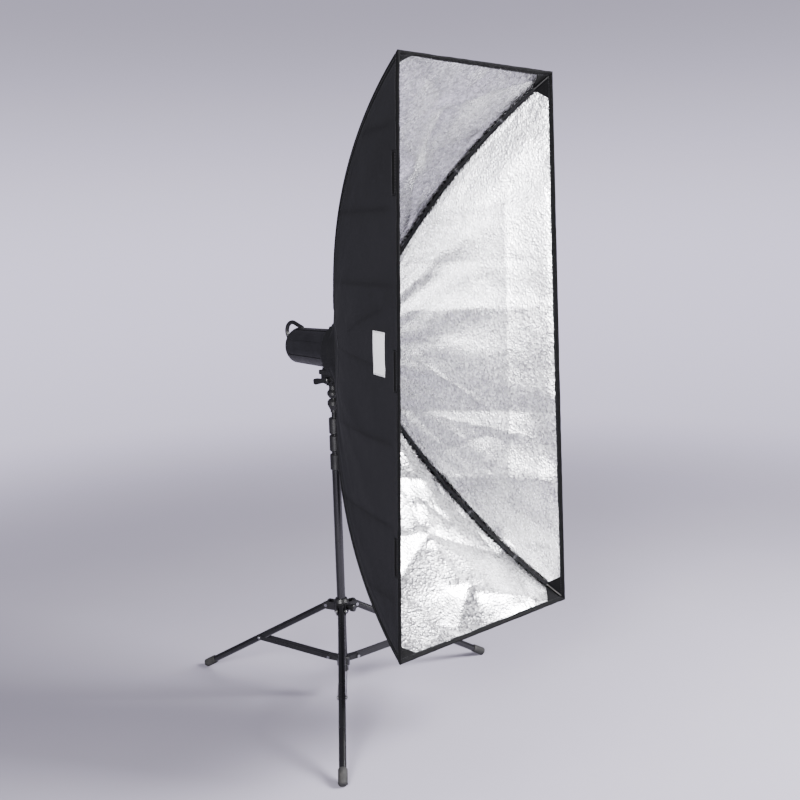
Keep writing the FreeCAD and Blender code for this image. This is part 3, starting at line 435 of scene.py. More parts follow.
clearGlass = makeGlass("clearGlass", (0.97, 0.98, 1.0), 0.04, 0.95)
panelPrint = makeThread("panelPrint", (0.55, 0.55, 0.56))


def finishFrame():
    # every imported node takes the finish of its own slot
    for part in frame["record"]["subparts"]:
        finish = finishes.get(part["material_slot"], blackCloth)
        if part["node"] in ("flash_tube", "modelling_lamp"):
            finish = clearGlass
        if part["node"] == "spigot":
            finish = finishes["casting_black"]
        target = frame["nodes"][part["node"]]
        target.data.materials.clear()
        target.data.materials.append(finish)


finishFrame()
print("finishes made")


# mesh helpers
def addObject(name, mesh, body):
    made = bpy.data.objects.new(name, mesh)
    bpy.context.scene.collection.objects.link(made)
    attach(made, body)
    return made


def outwards(mesh):
    # turns every face of a closed mesh to point out of it
    shape = bmesh.new()
    shape.from_mesh(mesh)
    bmesh.ops.recalc_face_normals(shape, faces=shape.faces)
    shape.to_mesh(mesh)
    shape.free()
    return mesh


def meshOf(name, points, faces, materials, indices=None, cloth=None, crease=None):
    # a smooth mesh; cloth gives each point its (x, y) on the cut sheet and crease how near a fold it lies
    mesh = bpy.data.meshes.new(name)
    mesh.from_pydata([tuple(p) for p in points], [], faces)
    for material in materials:
        mesh.materials.append(material)
    if indices is not None:
        mesh.polygons.foreach_set("material_index", np.asarray(indices, np.int32))
    mesh.polygons.foreach_set("use_smooth", [True] * len(mesh.polygons))
    if cloth is not None:
        layer = mesh.uv_layers.new(name="cloth")
        corner = np.zeros(len(mesh.loops), np.int32)
        mesh.loops.foreach_get("vertex_index", corner)
        layer.data.foreach_set("uv", np.asarray(cloth, np.float32)[corner].ravel())
    if crease is not None:
        mesh.attributes.new("crease", "FLOAT", "POINT").data.foreach_set("value", np.asarray(crease, np.float32))
    mesh.update()
    return mesh


def gridFaces(rows, columns, start=0, flip=False, closedRows=False):
    faces = []
    for i in range(rows if closedRows else rows - 1):
        for j in range(columns - 1):
            a, b = start + i * columns + j, start + ((i + 1) % rows) * columns + j
            faces.append((a, a + 1, b + 1, b) if flip else (a, b, b + 1, a + 1))
    return faces


def tubeFaces(count, around, closed=False):
    # rings of points joined one after another, with an end cap each unless the last meets the first
    faces = []
    for i in range(count if closed else count - 1):
        near, far = i * around, (i + 1) % count * around
        for k in range(around):
            following = (k + 1) % around
            faces.append((near + k, far + k, far + following, near + following))
    if not closed:
        faces += [tuple(range(around)), tuple(range((count - 1) * around, count * around))[::-1]]
    return faces


def shellOf(name, outer, inner, materials, cloth, crease=None):
    # a closed thin shell between two grids of the same size; materials are outside, inside, edge
    rows, columns = outer.shape[:2]
    total = rows * columns
    du = outer[1, 0] - outer[0, 0]
    dv = outer[0, 1] - outer[0, 0]
    flip = bool(np.dot(np.cross(du, dv), outer[0, 0] - inner[0, 0]) < 0)
    faces = gridFaces(rows, columns, 0, flip) + gridFaces(rows, columns, total, not flip)
    indices = [0] * ((rows - 1) * (columns - 1)) + [1] * ((rows - 1) * (columns - 1))
    rim = [(i, 0) for i in range(rows)] + [(rows - 1, j) for j in range(1, columns)]
    rim += [(i, columns - 1) for i in range(rows - 2, -1, -1)] + [(0, j) for j in range(columns - 2, 0, -1)]
    numbers = [i * columns + j for i, j in rim]
    for a, b in zip(numbers, numbers[1:] + numbers[:1]):
        faces.append((a, b, b + total, a + total) if flip else (b, a, a + total, b + total))
        indices.append(2)
    points = np.concatenate([outer.reshape(-1, 3), inner.reshape(-1, 3)])
    flat = cloth.reshape(-1, 2)
    fold = None if crease is None else np.tile(crease.ravel(), 2)
    return meshOf(name, points, faces, materials, indices, np.concatenate([flat, flat]), fold)


def sweep(name, line, sides, ups, profile, material, closed=False):
    # one closed section carried along a line; section points are (side, up) offsets
    line, sides, ups = (np.asarray(a, float) for a in (line, sides, ups))
    count, around = len(line), len(profile)
    points = np.concatenate([
        line[i] + np.outer([p[0] for p in profile], sides[i]) + np.outer([p[1] for p in profile], ups[i])
        for i in range(count)
    ])
    travelled = np.concatenate([[0], np.cumsum(np.linalg.norm(np.diff(line, axis=0), axis=1))])
    girth = np.linspace(0, 0.02, around)
    cloth = np.array([(travelled[i], girth[k]) for i in range(count) for k in range(around)])
    faces = tubeFaces(count, around, closed)
    return outwards(meshOf(name, points, faces, [material], cloth=cloth))


def ovalProfile(halfSide, halfUp, count=12):
    turns = [2 * math.pi * k / count for k in range(count)]
    return [(halfSide * math.cos(t), halfUp * math.sin(t)) for t in turns]


# the box's own shape: four bowed seams, a cloth panel between each two
boxShape = {
    "width": 0.6, "height": 1.4, "reach": 0.565, "twist": 0.0216, "rise": 0.016, "bow": 0.076,
    "rodSpread": 0.054, "rodFrom": 0.067, "openFrom": 0.13, "clothThick": 0.0012,
}
cornerSides = ((-1, 1), (1, 1), (1, -1), (-1, -1))


def seamLine(number):
    side, rise = cornerSides[number % 4]
    reach = boxShape["rodSpread"] * math.sqrt(0.5)
    start = np.array((side * reach, rise * reach, boxShape["rodFrom"]))
    end = np.array((
        side * boxShape["width"] / 2, rise * boxShape["height"] / 2 + boxShape["rise"],
        boxShape["reach"] - boxShape["twist"] * side * rise,
    ))
    chord = end - start
    along = chord / np.linalg.norm(chord)
    forward = np.array((0, 0, 1.0))
    outward = chord - forward * chord[2]
    outward /= np.linalg.norm(outward)
    bulge = outward * along[2] - forward * (along @ outward)
    middle = (start + end) / 2 + bulge / np.linalg.norm(bulge) * boxShape["bow"]
    a, b = middle - start, end - start
    normal = np.cross(a, b)
    centre = start + np.cross((a @ a) * b - (b @ b) * a, normal) / (2 * normal @ normal)
    first = start - centre
    second = np.cross(normal / np.linalg.norm(normal), first)
    sweepAngle = math.atan2((end - centre) @ second, (end - centre) @ first)

    def point(share):
        angle = sweepAngle * np.asarray(share, float)[..., None]
        return centre + first * np.cos(angle) + second * np.sin(angle)

    return point


seams = [seamLine(number) for number in range(4)]
seamSpan = float(np.linalg.norm(np.diff(seams[0](np.linspace(0, 1, 60)), axis=0), axis=1).sum())

# folds from packing: both ends (across, along) in metres, from the panel's middle line and its rear edge,
# then the depth of the fold and how far its slopes reach
panelFolds = {
    "top": [
        ((-0.27, 0.79), (0.00, 0.65), 0.006, 0.05), ((0.00, 0.65), (0.27, 0.79), 0.007, 0.05),
        ((0.00, 0.65), (0.03, 0.455), 0.006, 0.04), ((0.03, 0.455), (-0.16, 0.55), 0.005, 0.04),
        ((0.03, 0.455), (0.24, 0.56), 0.006, 0.05), ((0.03, 0.455), (-0.10, 0.30), 0.006, 0.03),
        ((0.00, 0.65), (0.06, 0.78), 0.003, 0.03), ((-0.06, 0.25), (0.14, 0.32), 0.004, 0.03),
        ((0.05, 0.42), (0.13, 0.22), 0.004, 0.02),
    ],
    "right": [
        ((-0.56, 0.40), (-0.55, 0.77), 0.002, 0.02), ((-0.37, 0.26), (-0.37, 0.77), 0.002, 0.03),
        ((-0.23, 0.12), (-0.23, 0.77), 0.001, 0.02), ((-0.10, 0.02), (-0.10, 0.77), 0.002, 0.03),
        ((0.18, 0.06), (0.18, 0.78), 0.005, 0.06), ((0.375, 0.28), (0.365, 0.78), 0.006, 0.06),
        ((0.545, 0.50), (0.55, 0.78), 0.005, 0.04), ((0.20, 0.30), (0.25, 0.70), 0.002, 0.02),
        ((0.30, 0.30), (0.24, 0.56), 0.002, 0.02), ((0.02, 0.18), (0.17, 0.52), 0.002, 0.02),
        ((0.24, 0.20), (0.33, 0.22), 0.003, 0.02), ((0.38, 0.34), (0.54, 0.56), 0.005, 0.03),
        ((0.26, 0.60), (0.36, 0.52), 0.002, 0.015), ((-0.45, 0.62), (0.50, 0.60), 0.002, 0.03),
    ],
    "bottom": [
        ((-0.02, 0.46), (-0.25, 0.60), 0.007, 0.05), ((-0.02, 0.46), (0.20, 0.42), 0.006, 0.04),
        ((-0.02, 0.46), (-0.03, 0.16), 0.004, 0.04), ((-0.02, 0.46), (-0.02, 0.665), 0.005, 0.04),
        ((-0.02, 0.46), (0.20, 0.60), 0.006, 0.05), ((-0.02, 0.665), (-0.22, 0.76), 0.006, 0.05),
        ((-0.02, 0.665), (0.10, 0.78), 0.005, 0.04), ((-0.16, 0.31), (0.02, 0.25), 0.005, 0.03),
        ((-0.06, 0.34), (-0.13, 0.45), 0.003, 0.02), ((-0.03, 0.36), (-0.10, 0.37), 0.003, 0.015),
    ],
    "left": [
        ((-0.54, 0.40), (-0.55, 0.77), 0.002, 0.02), ((-0.36, 0.20), (-0.37, 0.77), 0.002, 0.02),
        ((-0.17, 0.05), (-0.17, 0.77), 0.002, 0.02), ((0.03, 0.00), (0.00, 0.77), 0.002, 0.02),
        ((0.195, 0.08), (0.20, 0.77), 0.002, 0.02), ((0.37, 0.22), (0.37, 0.77), 0.003, 0.02),
        ((0.54, 0.42), (0.55, 0.77), 0.002, 0.02), ((0.07, 0.30), (0.15, 0.70), 0.002, 0.02),
    ],
}
panelOrder = ("top", "right", "bottom", "left")
# every panel's cloth, in metres
clothSetting = {
    "step": 0.0068,
    "foldGain": {"top": 1.5, "right": 1.2, "bottom": 1.5, "left": 0.8},  # multiplies the folds' depths
    # how far the middle sags, then the depth of the long and of the short wrinkles
    "sag": {
        "top": (0.006, 0.0016, 0.00022), "right": (0.010, 0.0012, 0.00016),
        "bottom": (0.009, 0.0016, 0.00025), "left": (0.013, 0.0008, 0.00008),
    },
    "heldBeside": (0.035, 0.03, 0.02),  # how near the seams, the rim and the rear edge the cloth is held
    "foldTaper": 0.12, "creaseWide": 0.0055,
    "sleeveEdge": (0.034, 0.004, 0.0012),  # its distance from the seam, how soft and how deep it shows
    "pucker": (0.03, 0.0006),  # how far from a sewn edge, and how deep
    "mostOut": 0.008, "under": 0.0002,
}


def softField(shape, step, longWay, shortWay, seed):
    # smooth random height of unit size, longer one way than the other, in metres
    chance = np.random.default_rng(seed).standard_normal(shape)
    fu = np.fft.fftfreq(shape[0], step[0])[:, None]
    fv = np.fft.fftfreq(shape[1], step[1])[None, :]
    keep = np.exp(-((fu * shortWay) ** 2 + (fv * longWay) ** 2) * 2)
    field = np.fft.ifft2(np.fft.fft2(chance) * keep).real
    return field / field.std()


def nearFold(x, y, fold):
    # how strongly each place feels the fold, the fold's depth, and its fine line
    (x0, y0), (x1, y1), depth, softness = fold
    dx, dy = x1 - x0, y1 - y0
    along = np.clip(((x - x0) * dx + (y - y0) * dy) / (dx * dx + dy * dy), 0, 1)
    distance = np.hypot(x - x0 - along * dx, y - y0 - along * dy)
    taper = np.clip(np.minimum(along, 1 - along) / clothSetting["foldTaper"], 0.15, 1)
    return np.exp(-distance / softness) * taper, depth, np.exp(-distance / clothSetting["creaseWide"]) * taper


def makePanel(number):
    # the ruled sheet between two seams, then its sag, folds and wrinkles pushed inwards
    name = panelOrder[number]
    length = seamSpan * (1 - boxShape["openFrom"])
    shares = np.linspace(boxShape["openFrom"], 1, int(length / clothSetting["step"]))
    first, second = seams[number](shares), seams[(number + 1) % 4](shares)
    faceWidth = float(np.linalg.norm(second[-1] - first[-1]))
    across = np.linspace(0, 1, int(faceWidth / clothSetting["step"]))
    flat = first[None] * (1 - across[:, None, None]) + second[None] * across[:, None, None]
    widths = np.linalg.norm(second - first, axis=1)
    x = (across[:, None] - 0.5) * widths[None, :]
    y = np.broadcast_to((np.linspace(0, 1, len(shares)) * length)[None, :], x.shape)
    fromSeam = (0.5 - np.abs(across[:, None] - 0.5)) * widths[None, :]
    heldSeam, heldRim, heldRear = clothSetting["heldBeside"]
    hold = np.clip(fromSeam / heldSeam, 0, 1) ** 1.5
    hold = hold * np.clip((length - y) / heldRim, 0, 1) * np.clip(y / heldRear, 0, 1)
    middle = np.sin(np.pi * across)[:, None] * np.sin(np.pi * np.clip(y / length, 0, 1)) ** 0.7
    sag, longDepth, shortDepth = clothSetting["sag"][name]
    gain = clothSetting["foldGain"][name]
    push = sag * middle
    crease = np.zeros_like(x)
    for k, fold in enumerate(panelFolds[name]):
        near, depth, line = nearFold(x, y, fold)
        push = push + near * depth * (gain if k % 2 else -gain)
        crease = np.maximum(crease, line)
    step = (faceWidth / len(across), length / len(shares))
    push = push + longDepth * softField(x.shape, step, 0.30, 0.10, 11 + number)
    push = push + shortDepth * softField(x.shape, step, 0.05, 0.035, 31 + number)
    edgeAt, edgeSoft, edgeDepth = clothSetting["sleeveEdge"]
    push = push - edgeDepth * np.exp(-np.abs(fromSeam - edgeAt) / edgeSoft)
    puckerReach, puckerDepth = clothSetting["pucker"]
    pucker = np.exp(-fromSeam / puckerReach) + np.exp(-(length - y) / puckerReach)
    pucker = pucker * np.abs(softField(x.shape, step, 0.03, 0.03, 51 + number))
    push = push * hold + puckerDepth * pucker * np.clip(fromSeam / puckerReach, 0, 1)
    du, dv = np.gradient(flat, axis=0), np.gradient(flat, axis=1)
    normal = np.cross(du, dv)
    normal /= np.linalg.norm(normal, axis=2, keepdims=True)
    middlePoint = flat[len(across) // 2, len(shares) // 2]
    if normal[len(across) // 2, len(shares) // 2] @ (middlePoint * (1, 1, 0)) < 0:
        normal = -normal
    hung = flat - normal * np.maximum(push, -clothSetting["mostOut"])[..., None] - normal * clothSetting["under"]
    flatArea = float(np.linalg.norm(np.cross(du, dv), axis=2).sum())
    return {
        "name": name, "outer": hung, "normal": normal, "widths": widths, "length": length,
        "cloth": np.stack([x, y], axis=-1), "crease": crease, "area": flatArea, "faceWidth": faceWidth,
    }


panels = [makePanel(number) for number in range(4)]


def makePanelCloth(panel):
    inner = panel["outer"] - panel["normal"] * boxShape["clothThick"]
    mesh = shellOf(
        panel["name"] + "Cloth", headPlace(panel["outer"]), headPlace(inner),
        [blackCloth, silverLining, bindingTape], panel["cloth"], panel["crease"],
    )
    cloth = addObject(panel["name"] + "Cloth", mesh, "softbox")
    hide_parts("panel_" + panel["name"])


for panel in panels:
    makePanelCloth(panel)
print("cloth panels made")


def onPanel(number, x, y, lift):
    # a place on a panel's sagged surface; x from its middle line, y from its rear edge, lift outwards
    panel = panels[number]
    x, y, lift = np.broadcast_arrays(np.asarray(x, float), np.asarray(y, float), np.asarray(lift, float))
    rows, columns = panel["outer"].shape[:2]
    v = np.clip(y / panel["length"], 0, 1) * (columns - 1)
    width = np.interp(v, np.arange(columns), panel["widths"])
    u = np.clip(x / width + 0.5, 0, 1) * (rows - 1)
    i, j = np.minimum(u.astype(int), rows - 2), np.minimum(v.astype(int), columns - 2)
    fu, fv = (u - i)[..., None], (v - j)[..., None]

    def blended(grid):
        low = grid[i, j] * (1 - fu) + grid[i + 1, j] * fu
        high = grid[i, j + 1] * (1 - fu) + grid[i + 1, j + 1] * fu
        return low * (1 - fv) + high * fv

    normal = blended(panel["normal"])
    normal /= np.linalg.norm(normal, axis=-1, keepdims=True)
    return blended(panel["outer"]) + normal * lift[..., None], normal


def halfWidth(panel, y):
    return np.interp(y / panel["length"], np.linspace(0, 1, len(panel["widths"])), panel["widths"]) / 2


def makePatch(name, number, rows, thick, material, outside=True):
    # rows of (x, y) places, each row as long as the others, laid on a panel with softly rounded edges
    rows = np.asarray(rows, float)
    count = rows.shape[:2]
    fromEdge = np.minimum.outer(
        np.minimum(np.arange(count[0]), np.arange(count[0])[::-1]),
        np.minimum(np.arange(count[1]), np.arange(count[1])[::-1]),
    )
    rounded = np.clip(fromEdge, 0, 2) / 2
    base = 0.0 if outside else -boxShape["clothThick"]
    sign = 1 if outside else -1
    lift = base + sign * (0.25 + 0.75 * np.sqrt(rounded)) * thick
    top = onPanel(number, rows[..., 0], rows[..., 1], lift)[0]
    back = onPanel(number, rows[..., 0], rows[..., 1], base - sign * 0.0003)[0]
    mesh = shellOf(name, headPlace(top), headPlace(back), [material, material, material], rows)
    return addObject(name, mesh, "softbox")


def patchRows(x0, x1, y0, y1, step=0.005):
    xs = np.linspace(x0, x1, max(6, int(abs(x1 - x0) / step)))
    ys = np.linspace(y0, y1, max(6, int(abs(y1 - y0) / step)))
    return np.stack(np.meshgrid(xs, ys, indexing="ij"), axis=-1)


# rim binding, seam tape, rod sleeves, pockets and ties
binding = {"depth": 0.013, "thick": 0.0046, "ahead": 0.0012, "step": 0.012}


def makeRimBinding():
    # tape folded over the raw edges, one loop with mitred corners
    line, insides, outsides = [], [], []
    for number in range(4):
        panel = panels[number]
        edge, before = panel["outer"][:, -1], panel["outer"][:, -2]
        picks = np.linspace(0, len(edge) - 1, int(panel["faceWidth"] / binding["step"])).astype(int)
        back = before - edge
        back /= np.linalg.norm(back, axis=1, keepdims=True)
        for pick in picks[1:-1]:
            line.append(edge[pick] - panel["normal"][pick, -1] * boxShape["clothThick"] / 2)
            insides.append(back[pick])
            outsides.append(panel["normal"][pick, -1])
        following = panels[(number + 1) % 4]
        joint = panel["normal"][-1, -1] + following["normal"][0, -1]
        joint /= 1 + panel["normal"][-1, -1] @ following["normal"][0, -1]
        line.append(edge[-1] - joint * boxShape["clothThick"] / 2)
        insides.append(back[-1])
        outsides.append(joint)
    depth, half = binding["depth"], binding["thick"] / 2
    profile = [
        (-binding["ahead"], half * 0.55), (-binding["ahead"] * 0.4, half * 0.9), (depth * 0.25, half),
        (depth * 0.8, half * 0.85), (depth, half * 0.45), (depth, -half * 0.45), (depth * 0.8, -half * 0.85),
        (depth * 0.25, -half), (-binding["ahead"] * 0.4, -half * 0.9), (-binding["ahead"], -half * 0.55),
    ]
    mesh = sweep("rimBinding", headPlace(line), headTurn(insides), headTurn(outsides), profile, bindingTape, True)
    addObject("rimBinding", mesh, "softbox")


def seamFrame(number, share):
    # the seam's place, its tangent, and the outward directions of the two panels beside it
    share = np.asarray(share, float)
    point = seams[number % 4](share)
    tangent = seams[number % 4](share + 0.001) - seams[number % 4](share - 0.001)
    tangent /= np.linalg.norm(tangent, axis=-1, keepdims=True)
    sides = []
    for neighbour in (number - 1, number + 1):
        way = seams[neighbour % 4](share) - point
        way -= tangent * np.sum(way * tangent, axis=-1, keepdims=True)
        way /= np.linalg.norm(way, axis=-1, keepdims=True)
        sides.append(way)
    return point, tangent, sides


def insideCorner(number, share, depth):
    # a place at the same depth below both panels
    point, tangent, sides = seamFrame(number, share)
    dot = np.sum(sides[0] * sides[1], axis=-1, keepdims=True)
    bisector = (sides[0] + sides[1]) / np.sqrt(np.maximum(1 - dot ** 2, 1e-6))
    return point + bisector * depth, tangent, bisector


seamTape = {"reach": 0.011, "thick": 0.0009, "proud": 0.0006, "under": 0.0002}


def makeSeamTape(number):
    # a strip folded over the corner seam outside
    shares = np.linspace(boxShape["openFrom"] + 0.004, 0.985, 90)
    point, tangent, sides = seamFrame(number, shares)
    reach, thick, proud = seamTape["reach"], seamTape["thick"], seamTape["proud"]
    dot = np.sum(sides[0] * sides[1], axis=-1, keepdims=True)
    corner = -(sides[0] + sides[1]) / np.sqrt(np.maximum(1 - dot ** 2, 1e-6))
    lifts = []
    for index, way in enumerate(sides):
        other = sides[1 - index]
        outward = -(other - way * np.sum(way * other, axis=-1, keepdims=True))
        lifts.append(outward / np.linalg.norm(outward, axis=-1, keepdims=True))
    outline = []
    for way, lift in zip(sides, lifts):
        outline.append((way * reach + lift * proud, way * reach + lift * (proud + thick) * 0.6,
                        way * reach * 0.5 + lift * (proud + thick), way * reach * 0.12 + lift * (proud + thick)))
    section = [
        *outline[0], corner * (proud + thick) * 0.9, *outline[1][::-1],
        sides[1] * reach * 0.5 - lifts[1] * seamTape["under"], -corner * seamTape["under"] * 2,
        sides[0] * reach * 0.5 - lifts[0] * seamTape["under"],
    ]
    points = np.stack([point + offset for offset in section], axis=1)
    count, around = points.shape[:2]
    cloth = np.stack(np.meshgrid(shares * seamSpan, np.arange(around) * 0.003, indexing="ij"), axis=-1)
    name = f"seamTape{number + 1}"
    mesh = meshOf(name, headPlace(points).reshape(-1, 3), tubeFaces(count, around), [bindingTape],
                  cloth=cloth.reshape(-1, 2))
    addObject(name, outwards(mesh), "softbox")


sleeve = {
    "depth": 0.0076, "halfWide": 0.0052, "halfHigh": 0.0046, "step": 0.010,
    "run": (0.16, 0.93),  # as shares of the seam from the ring to the rim
}


def makeRodSleeve(number):
    # a flattened black tube that holds the rod against its seam
    start, end = sleeve["run"]
    shares = np.linspace(start, end, int((end - start) * seamSpan / sleeve["step"]))
    point, tangent, bisector = insideCorner(number, shares, sleeve["depth"])
    across = np.cross(tangent, bisector)
    across /= np.linalg.norm(across, axis=-1, keepdims=True)
    inward = np.cross(across, tangent)
    ripple = (1 + 0.02 * np.sin(shares * 190 + number) + 0.02 * np.sin(shares * 71))[:, None]
    name = f"rodSleeve{number + 1}"
    mesh = sweep(name, headPlace(point), headTurn(across * ripple), headTurn(inward * ripple),
                 ovalProfile(sleeve["halfWide"], sleeve["halfHigh"]), blackCloth)
    addObject(name, mesh, "softbox")


def joinMeshes(name, meshes):
    # several meshes as one piece of the box
    shape = bmesh.new()
    materials = []
    for mesh in meshes:
        shift = {}
        for index, material in enumerate(mesh.materials):
            if material not in materials:
                materials.append(material)
            shift[index] = materials.index(material)
        held = len(shape.faces)
        shape.from_mesh(mesh)
        shape.faces.ensure_lookup_table()
        for face in shape.faces[held:]:
            face.material_index = shift.get(face.material_index, 0)
    joined = bpy.data.meshes.new(name)
    shape.to_mesh(joined)
    shape.free()
    for material in materials:
        joined.materials.append(material)
    for mesh in meshes:
        bpy.data.meshes.remove(mesh)
    addObject(name, joined, "softbox")


tie = {"shares": (0.60, 0.80), "apart": 0.0016, "depth": 0.0062, "loop": 0.0062, "section": (0.0009, 0.0010)}


def makeTies(number):
    # two turns of grey tape round the sleeve at each place
    rings = []
    for share in tie["shares"]:
        for offset in (-tie["apart"], tie["apart"]):
            point, tangent, bisector = insideCorner(number, share + offset / seamSpan, tie["depth"])
            across = np.cross(tangent, bisector)
            across /= np.linalg.norm(across)
            inward = np.cross(across, tangent)
            turns = np.linspace(0, 2 * math.pi, 21)[:-1]
            line = [point + tie["loop"] * (across * math.cos(t) + inward * math.sin(t)) for t in turns]
            side = [across * math.cos(t) + inward * math.sin(t) for t in turns]
            rings.append(sweep("tieRing", headPlace(line), headTurn(side), headTurn([tangent] * len(turns)),
                               ovalProfile(*tie["section"], 8), paleTie, True))
    joinMeshes(f"rodTies{number + 1}", rings)


pocket = {"leg": 0.052, "thick": 0.0014, "overlap": 0.008, "fromSeam": 0.0012, "rows": 14}


def makeCornerPocket(number):
    # a triangle of webbing on both panels at the corner, where the rod's tip sits
    shapes = []
    for panelNumber, atStart in (((number - 1) % 4, False), (number, True)):
        panel = panels[panelNumber]
        steps = np.linspace(0, 1, pocket["rows"])
        rows = []
        for s in steps:
            y = panel["length"] - binding["depth"] * 0.7 - s * pocket["leg"]
            reach = pocket["leg"] * (1 - s) + pocket["overlap"]
            xs = halfWidth(panel, y) - pocket["fromSeam"] - steps * reach
            rows.append([(-a if atStart else a, y) for a in xs])
        made = makePatch(f"pocketHalf{number}{panelNumber}", panelNumber, rows, pocket["thick"], bindingTape,
                         outside=False)
        shapes.append(made.data)
        bpy.data.objects.remove(made)
    joinMeshes(f"cornerPocket{number + 1}", shapes)


makeRimBinding()
for number in range(4):
    makeSeamTape(number)
    makeRodSleeve(number)
    makeTies(number)
    makeCornerPocket(number)
print("binding, tapes, sleeves, ties and pockets made")

# hook tape at the rim, the plain label and the reinforcement round the ring
trim = {
    "hookLong": 0.098, "hookWide": 0.022, "hookThick": 0.0016,
    "hookPlaces": (-0.44, 0.006, 0.447),
    "hookFromRim": 0.016,
    "label": (0.038, 0.105, 0.102, 0.092),  # x of its middle, how long, from the rim, how wide
    "labelThick": 0.0007,
    "ringPatchReach": 0.105, "ringPatchHalf": 0.120, "ringPatchThick": 0.0010, "ringPatchFrom": 0.003,
}


def ringPatchHalf(number):
    return min(trim["ringPatchHalf"], panels[number]["widths"][0] * 0.5)


def makeHookTapes(number, places):
    shapes = []
    panel = panels[number]
    turned = 1 if panelOrder[number] == "left" else -1
    for middle in places:
        x = middle * turned
        y1 = panel["length"] - trim["hookFromRim"]
        rows = patchRows(x - trim["hookLong"] / 2, x + trim["hookLong"] / 2, y1 - trim["hookWide"], y1)
        made = makePatch(f"hookTape{number}{int(x * 1000)}", number, rows, trim["hookThick"], hookTape)
        shapes.append(made.data)
        bpy.data.objects.remove(made)
    joinMeshes("hookTapes" + panelOrder[number].capitalize(), shapes)


def makeLabel():
    middle, tall, fromRim, wide = trim["label"]
    y1 = panels[3]["length"] - fromRim
    rows = patchRows(middle - tall / 2, middle + tall / 2, y1 - wide, y1)
    makePatch("plainLabel", 3, rows, trim["labelThick"], paleLabel)


def makeRingPatch(number):
    # a rounded piece of doubled cloth beside the opening
    half, start = ringPatchHalf(number), trim["ringPatchFrom"]
    rows = []
    for x in np.linspace(-0.96, 0.96, 44):
        reach = trim["ringPatchReach"] * math.sqrt(1 - x * x)
        rows.append([(x * half, start + reach * s) for s in np.linspace(0, 1, 16)])
    makePatch("ringPatch" + panelOrder[number].capitalize(), number, rows, trim["ringPatchThick"], blackCloth)


for number in (1, 3):
    makeHookTapes(number, trim["hookPlaces"])
for number in (0, 2):
    makeHookTapes(number, (0.0,))
makeLabel()
for number in range(4):
    makeRingPatch(number)
print("hook tapes, label and ring patches made")

# the neck that closes the box round the speed ring
neck = {
    "radius": 0.084, "circleAt": 0.070, "back": 0.046, "around": 192, "pleats": 46, "pleatDepth": 0.0016,
    "thick": 0.0011, "behindPanels": 0.0004, "dip": 0.004,
    "spare": 1.25,  # the cut sheet is this much longer than the gathered neck
}


def makeNeck():
    # a funnel from the panels' rear edges to a circle, then a pleated cuff over the ring
    around = neck["around"]
    quarter = [seams[number](boxShape["openFrom"]) for number in range(4)]
    edge = []
    for number in range(4):
        for step in range(around // 4):
            edge.append(quarter[number] + (quarter[(number + 1) % 4] - quarter[number]) * step / (around // 4))
    edge = np.array(edge)
    outward = edge * (1, 1, 0)
    outward /= np.linalg.norm(outward, axis=1, keepdims=True)
    circle = outward * neck["radius"]
    turns = np.unwrap(np.arctan2(outward[:, 1], outward[:, 0]))
    columns = []
    steps = [("funnel", s) for s in np.linspace(0, 1, 14)[:-1]] + [("cuff", s) for s in np.linspace(0, 1, 12)]
    for part, s in steps:
        gather = 0.5 + 0.5 * np.cos(turns * neck["pleats"] + 2.2 * np.sin(turns * 5))
        if part == "funnel":
            ease = s ** 1.3
            start = edge - (0, 0, neck["behindPanels"])
            goal = circle + (0, 0, neck["circleAt"])
            point = start * (1 - ease) + goal * ease - np.array((0, 0, neck["dip"] * math.sin(math.pi * s)))
            point = point - outward * (gather * neck["pleatDepth"] * s)[:, None]
        else:
            forward = neck["circleAt"] + (neck["back"] - neck["circleAt"]) * s
            squeeze = neck["pleatDepth"] * (1.0 + 0.8 * s)
            point = circle + (0, 0, forward) - outward * (gather * squeeze)[:, None]
        columns.append(point)
    grid = np.stack(columns, axis=1)  # around, steps, 3
    gu = np.roll(grid, -1, axis=0) - np.roll(grid, 1, axis=0)
    gv = np.gradient(grid, axis=1)
    normal = np.cross(gu, gv)
    normal /= np.linalg.norm(normal, axis=2, keepdims=True)
    if np.sum(normal[:, -2] * outward) < 0:
        normal = -normal
    inner = grid - normal * neck["thick"]
    rows, count = grid.shape[:2]
    total = rows * count
    flip = bool(np.dot(np.cross(grid[1, -2] - grid[0, -2], grid[0, -1] - grid[0, -2]), outward[0]) < 0)
    faces = gridFaces(rows, count, 0, flip, True) + gridFaces(rows, count, total, not flip, True)
    for i in range(rows):
        here, following = i * count, (i + 1) % rows * count
        for j in (0, count - 1):
            faces.append((here + j, following + j, following + j + total, here + j + total))
    travelled = np.concatenate([[0], np.cumsum(np.linalg.norm(np.diff(grid, axis=1), axis=2).mean(axis=0))])
    girth = 2 * math.pi * neck["radius"]
    cloth = np.stack(np.meshgrid(np.linspace(0, girth, rows), travelled, indexing="ij"), axis=-1).reshape(-1, 2)
    indices = [0] * (rows * (count - 1)) + [1] * (rows * (count - 1)) + [0] * (rows * 2)
    mesh = meshOf("neckCloth", headPlace(np.concatenate([grid.reshape(-1, 3), inner.reshape(-1, 3)])), faces,
                  [blackCloth, blackCloth], indices, np.concatenate([cloth, cloth]))
    piece = addObject("neckCloth", outwards(mesh), "softbox")
    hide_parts("neck_cuff")


makeNeck()
print("neck made")


